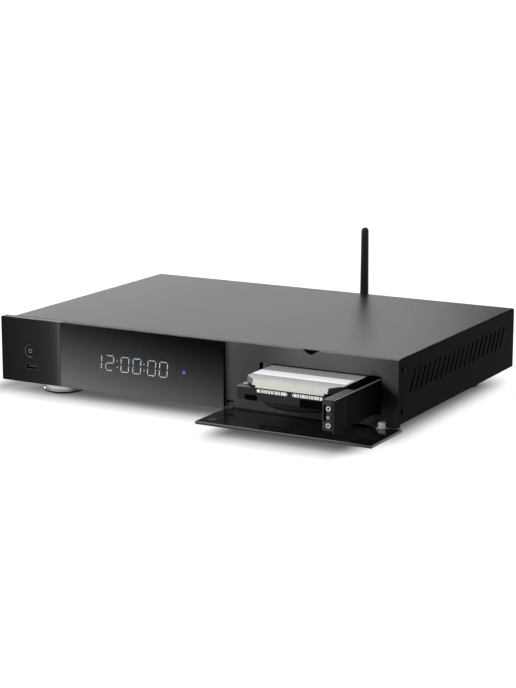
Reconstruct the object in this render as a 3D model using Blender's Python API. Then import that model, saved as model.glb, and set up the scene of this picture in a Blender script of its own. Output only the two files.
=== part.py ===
"""Full-width media player with a drop-down flap and a pull-out drive carrier.

Metres, +Z up, +X to the viewer's right, +Y to the back. The origin lies on the
ground, under the middle of the box round the player as it stands: flap down,
drive carrier pulled out, antenna up.
"""
from math import asin, atan2, cos, hypot, pi, radians, sin, tan

import bmesh
import bpy
from mathutils import Matrix, Vector

# Clearances and sheet
FIT = 0.0003                  # between pieces that are fastened together
RUN = 0.0005                  # between pieces that slide or turn
OVERRUN = 0.002               # how far a cut runs past what it cuts
COVER_SHEET = 0.001
PAN_SHEET = 0.0012

# Whole player
PANEL_WIDTH = 0.430
PANEL_HEIGHT = 0.0638
PANEL_DEPTH = 0.0098
PANEL_EDGE = 0.0008
PANEL_PAST_CASE_LEFT = 0.010
PANEL_PAST_CASE_RIGHT = 0.002
CASE_DEPTH = 0.270
CASE_RISE = 0.0046            # case bottom above the panel's lower edge
FOOT_DROP = 0.0122            # panel's lower edge above the ground
REAR_INSET = 0.0015           # rear panel inside the cover's back edge
COVER_BEND = 0.0018
PAN_FLANGE = 0.014

# Side vents
VENT_COUNT = 20
VENT_HEIGHT = 0.0205
VENT_LEAN = 0.0115            # how far the foot of a slot lies ahead of its top
VENT_WIDTH = 0.0034
VENT_PITCH = 0.01122
VENT_FIRST = 0.0253           # first slot's middle behind the panel's back
VENT_MIDDLE_RISE = 0.0350     # slots' middle above the case bottom

# Screw holes of the cover, and vents in the pan and the rear panel
COVER_HOLE_RADIUS = 0.0016
COVER_HOLE_INSET = 0.0055     # behind the panel's back
COVER_HOLE_RISES = (0.0103, 0.0488)
PAN_VENT_COUNT = 13
PAN_VENT_PITCH = 0.0090
PAN_VENT_LENGTH = 0.0380
PAN_VENT_WIDTH = 0.0032
PAN_VENT_GAP = 0.0260         # from the main board forward to the vents' middle
REAR_VENT_COUNT = 14
REAR_VENT_PITCH = 0.0080
REAR_VENT_LENGTH = 0.0180
REAR_VENT_WIDTH = 0.0030
REAR_VENT_DROP = 0.0140       # vents' middle under the cover

# Left end block with its button and socket
BLOCK_WIDTH = 0.070
BLOCK_WALL = 0.0024
BUTTON_HEIGHT = 0.0321
BUTTON_RADIUS = 0.0051
BUTTON_DOME = 0.0005
BUTTON_PROUD = 0.0006
BUTTON_TRAVEL = 0.0008
BUTTON_SKIRT = 0.0030
BUTTON_STEM_RADIUS = 0.0016
RING_RADIUS = 0.0068
RING_WALL = 0.0012
RING_PROUD = 0.0007
RING_DEPTH = 0.0026
SWITCH_SIZE = 0.0060
SWITCH_DEPTH = 0.0014
SWITCH_PLUNGER = 0.0006
SWITCH_PLUNGER_RADIUS = 0.0015
FRONT_BOARD_MARGIN = 0.012    # inside the block's left and right sides
FRONT_BOARD_HEIGHT = 0.044
FRONT_BOARD_BOTTOM = 0.0075
BOARD = 0.0016
BOSS_RADIUS = 0.0026
USB_WIDTH = 0.0131
USB_HEIGHT = 0.0057
USB_RISE = 0.0165             # socket's middle above the panel's lower edge
USB_SHELL = 0.0005
USB_DEPTH = 0.0150
USB_TONGUE = 0.0015
USB_TONGUE_WIDTH = 0.0095
USB_TONGUE_INSET = 0.0018
USB_BACK_WALL = 0.0020

# Display
WINDOW_THICKNESS = 0.0030
WINDOW_EDGE = 0.0004
DISPLAY_LEFT_SHARE = 0.205    # of the window's width
DISPLAY_WIDTH_SHARE = 0.613
DISPLAY_BOTTOM = 0.0135
DISPLAY_HEIGHT = 0.034
DISPLAY_SINK = 0.0010
DISPLAY_EDGE = 0.0012
FRAME_RELIEF = 0.0035

# Bay fascia
BAY_SECTION = 0.1770          # from the window to the panel's right side
FASCIA_SETBACK = 0.0043
FASCIA_LIFT = 0.0020
FASCIA_TONGUE = 0.0060        # how far it reaches behind the window
BAY_INSET = 0.0353            # from the window to the opening
BAY_WIDTH = 0.1231
BAY_SILL = 0.0125
BAY_HEIGHT = 0.0351
BAY_CORNER = 0.0010
NOTCH_WIDTH = 0.0160          # finger notch, across its open top
NOTCH_FLOOR = 0.0030
NOTCH_DEPTH = 0.0038
CATCH_DROP = 0.0006           # catch plate's top under the panel's
CATCH_SHEET = 0.0012
CATCH_DEPTH = 0.0030          # catch plate's back behind the fascia's front
CATCH_GAP = 0.0006

# Flap and its hinges
FLAP_THICKNESS = 0.0030
FLAP_EDGE = 0.0005
FLAP_GAP = 0.0004
PIVOT_INSET = 0.0020          # pivot behind the fascia's front
PIVOT_LIFT = 0.0039           # pivot above the panel's lower edge
PIN_RADIUS = 0.00075
PIN_SEAT = 0.0028             # pin's length in the fascia on each side
KNUCKLE_RADIUS = 0.0023
ARM_WIDTH = 0.0070
ARM_FOOT = 0.0007
ARM_FOOT_REACH = 0.0068
ARM_NECK_REACH = 0.0034
SLOT_WIDTH = 0.0080
SLOT_TOP = 0.0082
RIGHT_SLOT_INSET = 0.0116     # right slot's far side from the case's side
LEFT_SLOT_INSET = 0.0003
MAGNET_RADIUS = 0.0040
MAGNET_DEPTH = 0.0012
MAGNET_FROM_SIDE = 0.0105
MAGNET_FROM_EDGE = 0.0130

# Drive carrier
BAY_REACH = 0.0860            # carrier's front ahead of the panel
RAIL_SIDE_GAP = 0.0009
RAIL_WALL = 0.0020
RAIL_LIFT = 0.0030            # rail above the opening's sill
RAIL_HEIGHT = 0.0293
RAIL_EDGE = 0.0003
HOUSING_WIDTH = 0.0093
HOUSING_LENGTH = 0.0450
HOUSING_LIFT = 0.0024
HOUSING_WALL = 0.0016
HOUSING_EDGE = 0.0006
HOUSING_SLOT_WIDTH = 0.0026
HOUSING_SLOT_HEIGHT = 0.0142
HOUSING_SLOT_DEPTH = 0.0060
HOUSING_SLOT_INSET = 0.0011
HOUSING_SLOT_RISE = 0.0080
SCREW_HEAD_RADIUS = 0.0023
SCREW_HEAD = 0.0008
SCREW_SHANK_RADIUS = 0.0011
SCREW_LENGTH = 0.0060
SCREW_SOCKET_RADIUS = 0.0010
SCREW_SOCKET_DEPTH = 0.0010
SCREW_RISE = 0.0048
SCREW_PITCH = 0.0148
SCREW_INSET = 0.0031
LATCH_BUTTON_RADIUS = 0.0017
LATCH_BUTTON_PROUD = 0.0016
LATCH_BUTTON_DEPTH = 0.0050
LATCH_TRAVEL = 0.0012
LATCH_RISE = 0.0120
TRAY_SHEET = 0.0015
TRAY_SETBACK = 0.0040         # tray's front behind the fascia's front
TRAY_SHORT = 0.0060           # drive's back past the tray
TRAY_LEFT_GAP = 0.0015
GROMMET_HEIGHT = 0.0025
GROMMET_RADIUS = 0.0045
GROMMET_HOLE_INSET = 0.0100

# Hard drive, 3.5 inch
DRIVE_WIDTH = 0.1016
DRIVE_LENGTH = 0.1470
DRIVE_HEIGHT = 0.0261
DRIVE_SETBACK = 0.0310        # drive's front behind the carrier's front
DRIVE_CORNER = 0.0030
LID_HEIGHT = 0.0070
LID_SIDE_STEP = 0.0033
LID_FRONT_STEP = 0.0006
LID_CHAMFER_ACROSS = 0.0140
LID_CHAMFER_ALONG = 0.0130
LID_LIP = 0.0030              # how far the front lip slopes back
LID_DRAFT = 0.0005
LID_PRESSING = 0.0006
LID_PRESSING_INSET = 0.0045
LID_EDGE = 0.0005
DRUM_RADIUS = 0.0460
DRUM_DROP = 0.0078            # how far drum and rear block hang below the slab
DRUM_SLOPE = 0.0020
DRUM_FRONT_INSET = 0.0040
REAR_BLOCK_LENGTH = 0.0700
DRIVE_BOARD_LENGTH = 0.0560
DRIVE_BOARD_SIDE = 0.0100
DRIVE_BOARD_SINK = 0.0024
PLUG_WIDTH = 0.0440
PLUG_HEIGHT = 0.0052
PLUG_DEPTH = 0.0060
PLUG_RISE = 0.0010
PLUG_SLOT = 0.0022

# Drive cage
CAGE_MARGIN = 0.0010
CAGE_SHEET = 0.0012
CAGE_LIP = 0.0060
CAGE_TOP_GAP = 0.0020
GUIDE_LIP = 0.0078
GUIDE_UPPER_LIP = 0.0060
GUIDE_CAP = 0.0022
LEFT_GUIDE_WIDTH = 0.0059
LEFT_GUIDE_CAP = 0.0026
SPRING_SHEET = 0.0005
SPRING_HEIGHT = 0.0070
SPRING_TOP_DROP = 0.0010
SPRING_LENGTH = 0.0220
SPRING_BULGE = 0.0062
SPRING_START = 0.0006
BACKPLANE_TOP_GAP = 0.0060
SOCKET_WIDTH = 0.0420
SOCKET_HEIGHT = 0.0060
SOCKET_DEPTH = 0.0075
SOCKET_TONGUE_WIDTH = 0.0360
CAGE_PAST_BACKPLANE = 0.0040

# Boards on the pan
STANDOFF_HEIGHT = 0.0060
STANDOFF_RADIUS = 0.0030
STANDOFF_INSET = 0.0060
MAIN_LEFT = 0.0200            # from the case's left side
MAIN_CAGE_GAP = 0.0661        # from the board to the drive cage
MAIN_DEPTH = 0.1300
MAIN_BACK_GAP = 0.0020
SINK_SIZE = 0.0420
SINK_BASE = 0.0035
SINK_HEIGHT = 0.0180
SINK_FINS = 9
SINK_FIN = 0.0013
SINK_LEFT_SHARE = 0.368       # of the main board's width
SINK_FRONT = 0.0350
POWER_WIDTH = 0.1000
POWER_CAGE_GAP = 0.0170       # from the drive cage back to the board
POWER_RIGHT = 0.0180          # from the case's right side
POWER_BACK_GAP = 0.0080
CORE_WIDTH = 0.0300
CORE_DEPTH = 0.0260
CORE_HEIGHT = 0.0220
CAPACITOR_RADIUS = 0.0090
CAPACITOR_HEIGHT = 0.0300

# Sockets at the back
PORT_GAP = 0.0004
PORT_PROUD = 0.0006
HDMI_LEFT_SHARE = 0.158       # of the main board's width, as the next ones
HDMI_WIDTH = 0.0150
HDMI_HEIGHT = 0.0056
HDMI_DEPTH = 0.0120
LAN_LEFT_SHARE = 0.295
LAN_WIDTH = 0.0160
LAN_HEIGHT = 0.0135
LAN_DEPTH = 0.0210
LAN_OPENING_WIDTH = 0.0118
LAN_OPENING_HEIGHT = 0.0072
LAN_OPENING_DEPTH = 0.0140
LAN_CLIP_WIDTH = 0.0042
LAN_CLIP_HEIGHT = 0.0016
LAN_WALL = 0.0018
USB_STACK_LEFT_SHARE = 0.442
USB_STACK_PITCH = 0.0078
USB_STACK_WIDTH = 0.0145
USB_STACK_HEIGHT = 0.0156
USB_STACK_DEPTH = 0.0180
RCA_LEFT_SHARE = 0.590
RCA_COUNT = 3
RCA_PITCH = 0.0140
RCA_BODY_HEIGHT = 0.0130
RCA_BODY_DEPTH = 0.0100
RCA_BARREL_RADIUS = 0.0041
RCA_BARREL = 0.0085
RCA_BORE_RADIUS = 0.0016
INLET_FROM_RIGHT = 0.0300     # inlet's middle from the case's right side
INLET_WIDTH = 0.0210
INLET_HEIGHT = 0.0130
INLET_FLANGE = 0.0030
INLET_FLANGE_DEPTH = 0.0016
INLET_DEPTH = 0.0180
INLET_RISE = 0.0300           # inlet's and rocker's middle above the case bottom
INLET_WALL = 0.0022
INLET_RECESS = 0.0130
INLET_PIN_RADIUS = 0.0012
INLET_PIN_PITCH = 0.0087
ROCKER_FROM_RIGHT = 0.0600
ROCKER_WIDTH = 0.0120
ROCKER_HEIGHT = 0.0170
ROCKER_FRAME_WALL = 0.0016
ROCKER_FLANGE = 0.0018
ROCKER_FLANGE_DEPTH = 0.0015
ROCKER_FRAME_DEPTH = 0.0140
ROCKER_FLOOR = 0.0020
ROCKER_DEPTH = 0.0060
ROCKER_PROUD = 0.0020
ROCKER_SWING = radians(14.0)

# Antenna
ANTENNA_FROM_RIGHT = 0.1740   # connector's middle from the case's right side
ANTENNA_RISE = 0.0240         # above the case bottom
ANTENNA_TIP_RISE = 0.0676     # tip above the case top
CONNECTOR_RADIUS = 0.0031
CONNECTOR_NUT_RADIUS = 0.0046
CONNECTOR_NUT = 0.0022
CONNECTOR_INSIDE = 0.0060
CONNECTOR_OUTSIDE = 0.0034
KNUCKLE_BACK = 0.0150         # mast's pivot behind the cover's back edge
COLLAR_RADIUS = 0.0050
CHEEK_GAP = 0.0044
CHEEK_WIDTH = 0.0092
CHEEK_RADIUS = 0.0044
ANTENNA_PIN_RADIUS = 0.0013
MAST_RADIUS = 0.00475
MAST_TIP_RADIUS = 0.0039
MAST_WAIST = 0.0052           # above the pivot, where the round mast starts
MAST_GROOVE = 0.0003
MAST_GROOVE_DROP = 0.0090
TONGUE_RADIUS = 0.0040

# Feet
FOOT_RADIUS = 0.0202
FOOT_LEFT_INSET = 0.0420      # from the case's sides
FOOT_FRONT_INSET = 0.0222     # from the panel's back
FOOT_BACK_INSET = 0.0400
FOOT_EDGE = 0.0012
FOOT_WAIST = 0.0010
PAD_RADIUS = 0.0165
PAD_PROUD = 0.0014
PAD_DEPTH = 0.0030

# Planes and places worked out from the sizes
ANTENNA_BACK = KNUCKLE_BACK + MAST_RADIUS
WHOLE_DEPTH = BAY_REACH + PANEL_DEPTH + CASE_DEPTH + ANTENNA_BACK
PANEL_LEFT = -PANEL_WIDTH / 2
PANEL_RIGHT = PANEL_WIDTH / 2
PANEL_FRONT = -WHOLE_DEPTH / 2 + BAY_REACH
PANEL_BACK = PANEL_FRONT + PANEL_DEPTH
PANEL_BOTTOM = FOOT_DROP
PANEL_TOP = PANEL_BOTTOM + PANEL_HEIGHT
CASE_LEFT = PANEL_LEFT + PANEL_PAST_CASE_LEFT
CASE_RIGHT = PANEL_RIGHT - PANEL_PAST_CASE_RIGHT
CASE_FRONT = PANEL_BACK + FIT
CASE_BACK = PANEL_BACK + CASE_DEPTH
CASE_BOTTOM = PANEL_BOTTOM + CASE_RISE
CASE_TOP = PANEL_TOP
INNER_LEFT = CASE_LEFT + COVER_SHEET + FIT
INNER_RIGHT = CASE_RIGHT - COVER_SHEET - FIT
INNER_TOP = CASE_TOP - COVER_SHEET - FIT
PAN_TOP = CASE_BOTTOM + PAN_SHEET
PLATE_BACK = CASE_FRONT + PAN_SHEET
REAR_FACE = CASE_BACK - REAR_INSET
REAR_INNER = REAR_FACE - PAN_SHEET
BLOCK_RIGHT = PANEL_LEFT + BLOCK_WIDTH
BLOCK_MIDDLE = PANEL_LEFT + BLOCK_WIDTH / 2
FRONT_BOARD_X = (PANEL_LEFT + FRONT_BOARD_MARGIN, BLOCK_RIGHT - FRONT_BOARD_MARGIN)
WINDOW_LEFT = BLOCK_RIGHT + FIT
WINDOW_RIGHT = PANEL_RIGHT - BAY_SECTION
WINDOW_WIDTH = WINDOW_RIGHT - WINDOW_LEFT
FASCIA_LEFT = WINDOW_RIGHT - FASCIA_TONGUE
FASCIA_FRONT = PANEL_FRONT + FASCIA_SETBACK
FASCIA_BOTTOM = PANEL_BOTTOM + FASCIA_LIFT
FLAP_LEFT = WINDOW_RIGHT + FLAP_GAP
FLAP_MIDDLE = (FLAP_LEFT + CASE_RIGHT) / 2
BAY_LEFT = WINDOW_RIGHT + BAY_INSET
BAY_RIGHT = BAY_LEFT + BAY_WIDTH
BAY_BOTTOM = PANEL_BOTTOM + BAY_SILL
BAY_TOP = BAY_BOTTOM + BAY_HEIGHT
PIVOT_Y = FASCIA_FRONT + PIVOT_INSET
PIVOT_Z = PANEL_BOTTOM + PIVOT_LIFT
FLAP_TOP = PIVOT_Z + FLAP_THICKNESS - (PIVOT_Y - PANEL_FRONT)
FLAP_BOTTOM = FLAP_TOP - FLAP_THICKNESS
FLAP_BACK = PIVOT_Y + PIVOT_Z - (PANEL_BOTTOM + FLAP_GAP)
FLAP_FRONT = PIVOT_Y - (PANEL_TOP - FLAP_GAP - PIVOT_Z)
LEFT_SLOT = (WINDOW_RIGHT + LEFT_SLOT_INSET, WINDOW_RIGHT + LEFT_SLOT_INSET + SLOT_WIDTH)
RIGHT_SLOT = (CASE_RIGHT - RIGHT_SLOT_INSET - SLOT_WIDTH, CASE_RIGHT - RIGHT_SLOT_INSET)
RAIL_RIGHT = BAY_RIGHT - RAIL_SIDE_GAP
RAIL_LEFT = RAIL_RIGHT - RAIL_WALL
RAIL_BOTTOM = BAY_BOTTOM + RAIL_LIFT
RAIL_TOP = RAIL_BOTTOM + RAIL_HEIGHT
HOUSING_RIGHT = RAIL_LEFT - FIT
HOUSING_LEFT = HOUSING_RIGHT - HOUSING_WIDTH
HOUSING_BOTTOM = RAIL_BOTTOM + HOUSING_LIFT
CARRIER_FRONT = PANEL_FRONT - BAY_REACH
CARRIER_TRAVEL = FASCIA_FRONT - CARRIER_FRONT
HOUSING_BACK = CARRIER_FRONT + HOUSING_LENGTH
LATCH_X = HOUSING_RIGHT - SCREW_INSET
DRIVE_RIGHT = HOUSING_LEFT - FIT
DRIVE_LEFT = DRIVE_RIGHT - DRIVE_WIDTH
DRIVE_MIDDLE = (DRIVE_LEFT + DRIVE_RIGHT) / 2
DRIVE_FRONT = CARRIER_FRONT + DRIVE_SETBACK
DRIVE_BACK = DRIVE_FRONT + DRIVE_LENGTH
TRAY_TOP = RAIL_BOTTOM + TRAY_SHEET
TRAY_LEFT = BAY_LEFT + TRAY_LEFT_GAP
TRAY_FRONT = FASCIA_FRONT + TRAY_SETBACK
TRAY_BACK = DRIVE_BACK - TRAY_SHORT
DRIVE_BOTTOM = TRAY_TOP + GROMMET_HEIGHT + FIT
DRIVE_TOP = DRIVE_BOTTOM + DRIVE_HEIGHT
SLAB_BOTTOM = DRIVE_BOTTOM + DRUM_DROP
SLAB_TOP = DRIVE_TOP - LID_HEIGHT - FIT
CAGE_LEFT = BAY_LEFT - CAGE_MARGIN
CAGE_RIGHT = BAY_RIGHT + CAGE_MARGIN
CAGE_FLOOR = PAN_TOP + FIT + CAGE_SHEET
CAGE_TOP = BAY_TOP + CAGE_TOP_GAP
CAGE_FRONT = PLATE_BACK + FIT
SOCKET_FRONT = DRIVE_BACK + CARRIER_TRAVEL + RUN
BACKPLANE_FRONT = SOCKET_FRONT + SOCKET_DEPTH + FIT
BACKPLANE_BACK = BACKPLANE_FRONT + BOARD
CAGE_BACK = BACKPLANE_BACK + CAGE_PAST_BACKPLANE
BOARD_BOTTOM = PAN_TOP + STANDOFF_HEIGHT + FIT
BOARD_TOP = BOARD_BOTTOM + BOARD
PORT_BOTTOM = BOARD_TOP + FIT
MAIN_X = (CASE_LEFT + MAIN_LEFT, CAGE_LEFT - CAGE_SHEET - MAIN_CAGE_GAP)
MAIN_WIDTH = MAIN_X[1] - MAIN_X[0]
MAIN_Y = (REAR_INNER - MAIN_BACK_GAP - MAIN_DEPTH, REAR_INNER - MAIN_BACK_GAP)
POWER_X = (CASE_RIGHT - POWER_RIGHT - POWER_WIDTH, CASE_RIGHT - POWER_RIGHT)
POWER_Y = (CAGE_BACK + POWER_CAGE_GAP, REAR_INNER - POWER_BACK_GAP)
HDMI_LEFT = MAIN_X[0] + MAIN_WIDTH * HDMI_LEFT_SHARE
LAN_LEFT = MAIN_X[0] + MAIN_WIDTH * LAN_LEFT_SHARE
USB_STACK_LEFT = MAIN_X[0] + MAIN_WIDTH * USB_STACK_LEFT_SHARE
RCA_LEFT = MAIN_X[0] + MAIN_WIDTH * RCA_LEFT_SHARE
SINK_LEFT = MAIN_X[0] + MAIN_WIDTH * SINK_LEFT_SHARE
INLET_X = CASE_RIGHT - INLET_FROM_RIGHT
ROCKER_X = CASE_RIGHT - ROCKER_FROM_RIGHT
INLET_Z = CASE_BOTTOM + INLET_RISE
MAST_X = CASE_RIGHT - ANTENNA_FROM_RIGHT
MAST_Y = CASE_BACK + KNUCKLE_BACK
MAST_Z = CASE_BOTTOM + ANTENNA_RISE
MAST_TOP = CASE_TOP + ANTENNA_TIP_RISE
FOOT_TOP = CASE_BOTTOM - FIT

# Facets
ROUND_STEPS = 36
SMALL_STEPS = 24
BEND_STEPS = 4
SMOOTH_ANGLE = radians(35.0)


def clear_scene():
    for item in list(bpy.data.objects):
        bpy.data.objects.remove(item, do_unlink=True)


def finish(name, colour, roughness, metallic=0.0, transmission=0.0):
    """One Principled material."""
    made = bpy.data.materials.new(name)
    made.use_nodes = True
    shader = made.node_tree.nodes["Principled BSDF"]
    shader.inputs["Base Color"].default_value = (*colour, 1.0)
    shader.inputs["Roughness"].default_value = roughness
    shader.inputs["Metallic"].default_value = metallic
    shader.inputs["Transmission Weight"].default_value = transmission
    return made


def centred(middle, width):
    return (middle - width / 2, middle + width / 2)


def grown(pair, by):
    return (pair[0] - by, pair[1] + by)


def place(name, mesh_source, looks, origin=(0.0, 0.0, 0.0)):
    """Turn a bmesh into a named object whose origin is at the given point."""
    bmesh.ops.recalc_face_normals(mesh_source, faces=mesh_source.faces)
    bmesh.ops.translate(mesh_source, verts=mesh_source.verts, vec=-Vector(origin))
    mesh = bpy.data.meshes.new(name)
    mesh_source.to_mesh(mesh)
    mesh_source.free()
    body = bpy.data.objects.new(name, mesh)
    body.location = origin
    bpy.context.scene.collection.objects.link(body)
    if looks:
        mesh.materials.append(looks)
    return body


def add_prism(made, outline, axis, ends):
    """Extrude an outline along X, Y or Z between two places on that axis.

    The outline's points are (y, z), (x, z) or (x, y), for those three axes.
    """
    start, stop = ends
    corners = []
    for first, second in outline:
        at = {"X": (start, first, second), "Y": (first, start, second), "Z": (first, second, start)}
        corners.append(made.verts.new(at[axis]))
    face = made.faces.new(corners)
    grown_faces = bmesh.ops.extrude_face_region(made, geom=[face])
    moved = [item for item in grown_faces["geom"] if isinstance(item, bmesh.types.BMVert)]
    along = {"X": Vector((1, 0, 0)), "Y": Vector((0, 1, 0)), "Z": Vector((0, 0, 1))}[axis]
    bmesh.ops.translate(made, verts=moved, vec=along * (stop - start))


def prism(name, outline, axis, ends, looks=None, origin=(0.0, 0.0, 0.0)):
    """One body extruded from an outline."""
    made = bmesh.new()
    add_prism(made, outline, axis, ends)
    return place(name, made, looks, origin)


def drafted(name, low_outline, high_outline, ends, looks=None):
    """One upright body whose outline changes evenly from its foot to its top."""
    made = bmesh.new()
    rings = [[made.verts.new((x, y, height)) for x, y in outline]
             for outline, height in zip((low_outline, high_outline), ends)]
    made.faces.new(rings[0][::-1])
    made.faces.new(rings[1])
    for (low_a, low_b), (high_a, high_b) in zip(*(zip(ring, ring[1:] + ring[:1]) for ring in rings)):
        made.faces.new((low_a, low_b, high_b, high_a))
    return place(name, made, looks)


def bars(name, outlines, axis, ends):
    """A guide for a Boolean that holds many extruded outlines side by side."""
    made = bmesh.new()
    for outline in outlines:
        add_prism(made, outline, axis, ends)
    return place(name, made, None)


def box(name, across, along, up, looks=None, origin=(0.0, 0.0, 0.0)):
    left, right = across
    near, far = along
    outline = [(left, near), (right, near), (right, far), (left, far)]
    return prism(name, outline, "Z", up, looks, origin)


def turned(name, profile, axis, centre, steps, looks=None, origin=(0.0, 0.0, 0.0)):
    """Revolve (radius, along) points round an axis through the centre.

    The profile starts and ends on the axis, and runs along it from low to high.
    """
    made = bmesh.new()
    to_axis = {"X": Matrix.Rotation(pi / 2, 4, "Y"), "Y": Matrix.Rotation(-pi / 2, 4, "X"),
               "Z": Matrix()}
    chain = [made.verts.new((radius, 0.0, along)) for radius, along in profile]
    edges = [made.edges.new(pair) for pair in zip(chain, chain[1:])]
    bmesh.ops.spin(made, geom=chain + edges, cent=(0, 0, 0), axis=(0, 0, 1), angle=2 * pi,
                   steps=steps, use_duplicate=False)
    bmesh.ops.remove_doubles(made, verts=made.verts, dist=FIT / 100)
    for end, beside in ((profile[0], profile[1]), (profile[-1], profile[-2])):
        if end[1] == beside[1]:
            hubs = [hub for hub in made.verts
                    if hypot(hub.co.x, hub.co.y) + abs(hub.co.z - end[1]) < FIT / 100]
            bmesh.ops.dissolve_verts(made, verts=hubs)
    bmesh.ops.transform(made, matrix=Matrix.Translation(centre) @ to_axis[axis], verts=made.verts)
    return place(name, made, looks, origin)


def rod(name, radius, axis, centre, ends, steps, looks=None, origin=(0.0, 0.0, 0.0)):
    """A plain cylinder whose ends are given from its centre, along its axis."""
    low, high = ends
    profile = [(0.0, low), (radius, low), (radius, high), (0.0, high)]
    return turned(name, profile, axis, centre, steps, looks, origin)


def arc(centre, radius, start, stop, steps):
    """Points on an arc, both ends included, angles in radians."""
    angles = [start + (stop - start) * step / steps for step in range(steps + 1)]
    return [(centre[0] + radius * cos(angle), centre[1] + radius * sin(angle)) for angle in angles]


def rounded(across, up, radius, steps):
    """A rectangle's outline with its four corners rounded."""
    low, high = across
    bottom, top = up
    middles = [(high - radius, top - radius, 0.0), (low + radius, top - radius, pi / 2),
               (low + radius, bottom + radius, pi), (high - radius, bottom + radius, 3 * pi / 2)]
    points = []
    for first, second, start in middles:
        points += arc((first, second), radius, start, start + pi / 2, steps)
    return points


def slot_outline(middle, length, width, lean=0.0):
    """A long hole with round ends, upright or leaning from its middle."""
    reach = (length - width) / 2
    points = []
    for sign, start in ((1, -lean), (-1, pi - lean)):
        centre = (middle[0] + sign * reach * sin(lean), middle[1] + sign * reach * cos(lean))
        points += arc(centre, width / 2, start, start + pi, BEND_STEPS)
    return points


def helper(tool):
    """Mark a body as a guide for a Boolean, so that it is no piece itself."""
    tool.hide_render = True
    tool.display_type = "WIRE"
    return tool


def combine(target, tool, operation):
    step = target.modifiers.new(tool.name, "BOOLEAN")
    step.operation = operation
    step.solver = "EXACT"
    step.object = helper(tool)


def carve(target, *tools):
    for tool in tools:
        combine(target, tool, "DIFFERENCE")


def fuse(target, *tools):
    for tool in tools:
        combine(target, tool, "UNION")


def ease_edges(body, width, steps=2):
    """Round the sharp edges that the body has before later modifiers."""
    step = body.modifiers.new("edges", "BEVEL")
    step.width = width
    step.segments = steps
    step.limit_method = "ANGLE"
    step.angle_limit = SMOOTH_ANGLE


def shade(body):
    body.data.shade_smooth()
    body.data.set_sharp_from_angle(angle=SMOOTH_ANGLE)
    return body


def hang(body, pivot):
    """Parent a body to an empty on its joint, and keep the body where it is."""
    offset = body.location - pivot.location
    body.parent = pivot
    body.location = offset


def pivot_empty(name, at):
    mark = bpy.data.objects.new(name, None)
    mark.location = at
    mark.empty_display_size = PANEL_DEPTH
    bpy.context.scene.collection.objects.link(mark)
    return mark


# Case

def board_holes(across, along):
    """Where the four standoffs of a board stand."""
    return [(x, y) for x in (across[0] + STANDOFF_INSET, across[1] - STANDOFF_INSET)
            for y in (along[0] + STANDOFF_INSET, along[1] - STANDOFF_INSET)]


def make_base_pan(looks):
    """Bent tray with low side flanges and raised standoffs for the two boards."""
    top = CASE_BOTTOM + PAN_FLANGE
    outline = [(INNER_LEFT, CASE_BOTTOM), (INNER_RIGHT, CASE_BOTTOM), (INNER_RIGHT, top),
               (INNER_RIGHT - PAN_SHEET, top), (INNER_RIGHT - PAN_SHEET, PAN_TOP),
               (INNER_LEFT + PAN_SHEET, PAN_TOP), (INNER_LEFT + PAN_SHEET, top), (INNER_LEFT, top)]
    pan = prism("base_pan", outline, "Y", (PLATE_BACK + FIT, REAR_INNER - FIT), looks)
    for number, (x, y) in enumerate(board_holes(MAIN_X, MAIN_Y) + board_holes(POWER_X, POWER_Y)):
        ends = (CASE_BOTTOM + PAN_SHEET / 2, PAN_TOP + STANDOFF_HEIGHT)
        fuse(pan, rod(f"standoff_{number}", STANDOFF_RADIUS, "Z", (x, y, 0.0), ends, SMALL_STEPS // 2))
    middle_x = (MAIN_X[0] + MAIN_X[1]) / 2 - PAN_VENT_PITCH * (PAN_VENT_COUNT - 1) / 2
    middle_y = MAIN_Y[0] - PAN_VENT_GAP
    slots = [slot_outline((middle_x + PAN_VENT_PITCH * number, middle_y), PAN_VENT_LENGTH, PAN_VENT_WIDTH)
             for number in range(PAN_VENT_COUNT)]
    carve(pan, bars("pan_vents", slots, "Z", grown((CASE_BOTTOM, PAN_TOP), OVERRUN)))
    return pan


def make_front_plate(looks):
    plate = box("front_plate", (INNER_LEFT, INNER_RIGHT), (CASE_FRONT, PLATE_BACK),
                (CASE_BOTTOM, INNER_TOP), looks)
    through = grown((CASE_FRONT, PLATE_BACK), OVERRUN)
    bay = box("plate_bay_cut", grown((BAY_LEFT, BAY_RIGHT), CAGE_MARGIN), through,
              grown((BAY_BOTTOM, BAY_TOP), CAGE_MARGIN))
    usb = box("plate_usb_cut", grown(centred(BLOCK_MIDDLE, USB_WIDTH), CAGE_MARGIN), through,
              grown(centred(PANEL_BOTTOM + USB_RISE, USB_HEIGHT), CAGE_MARGIN))
    carve(plate, bay, usb)
    return plate


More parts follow.
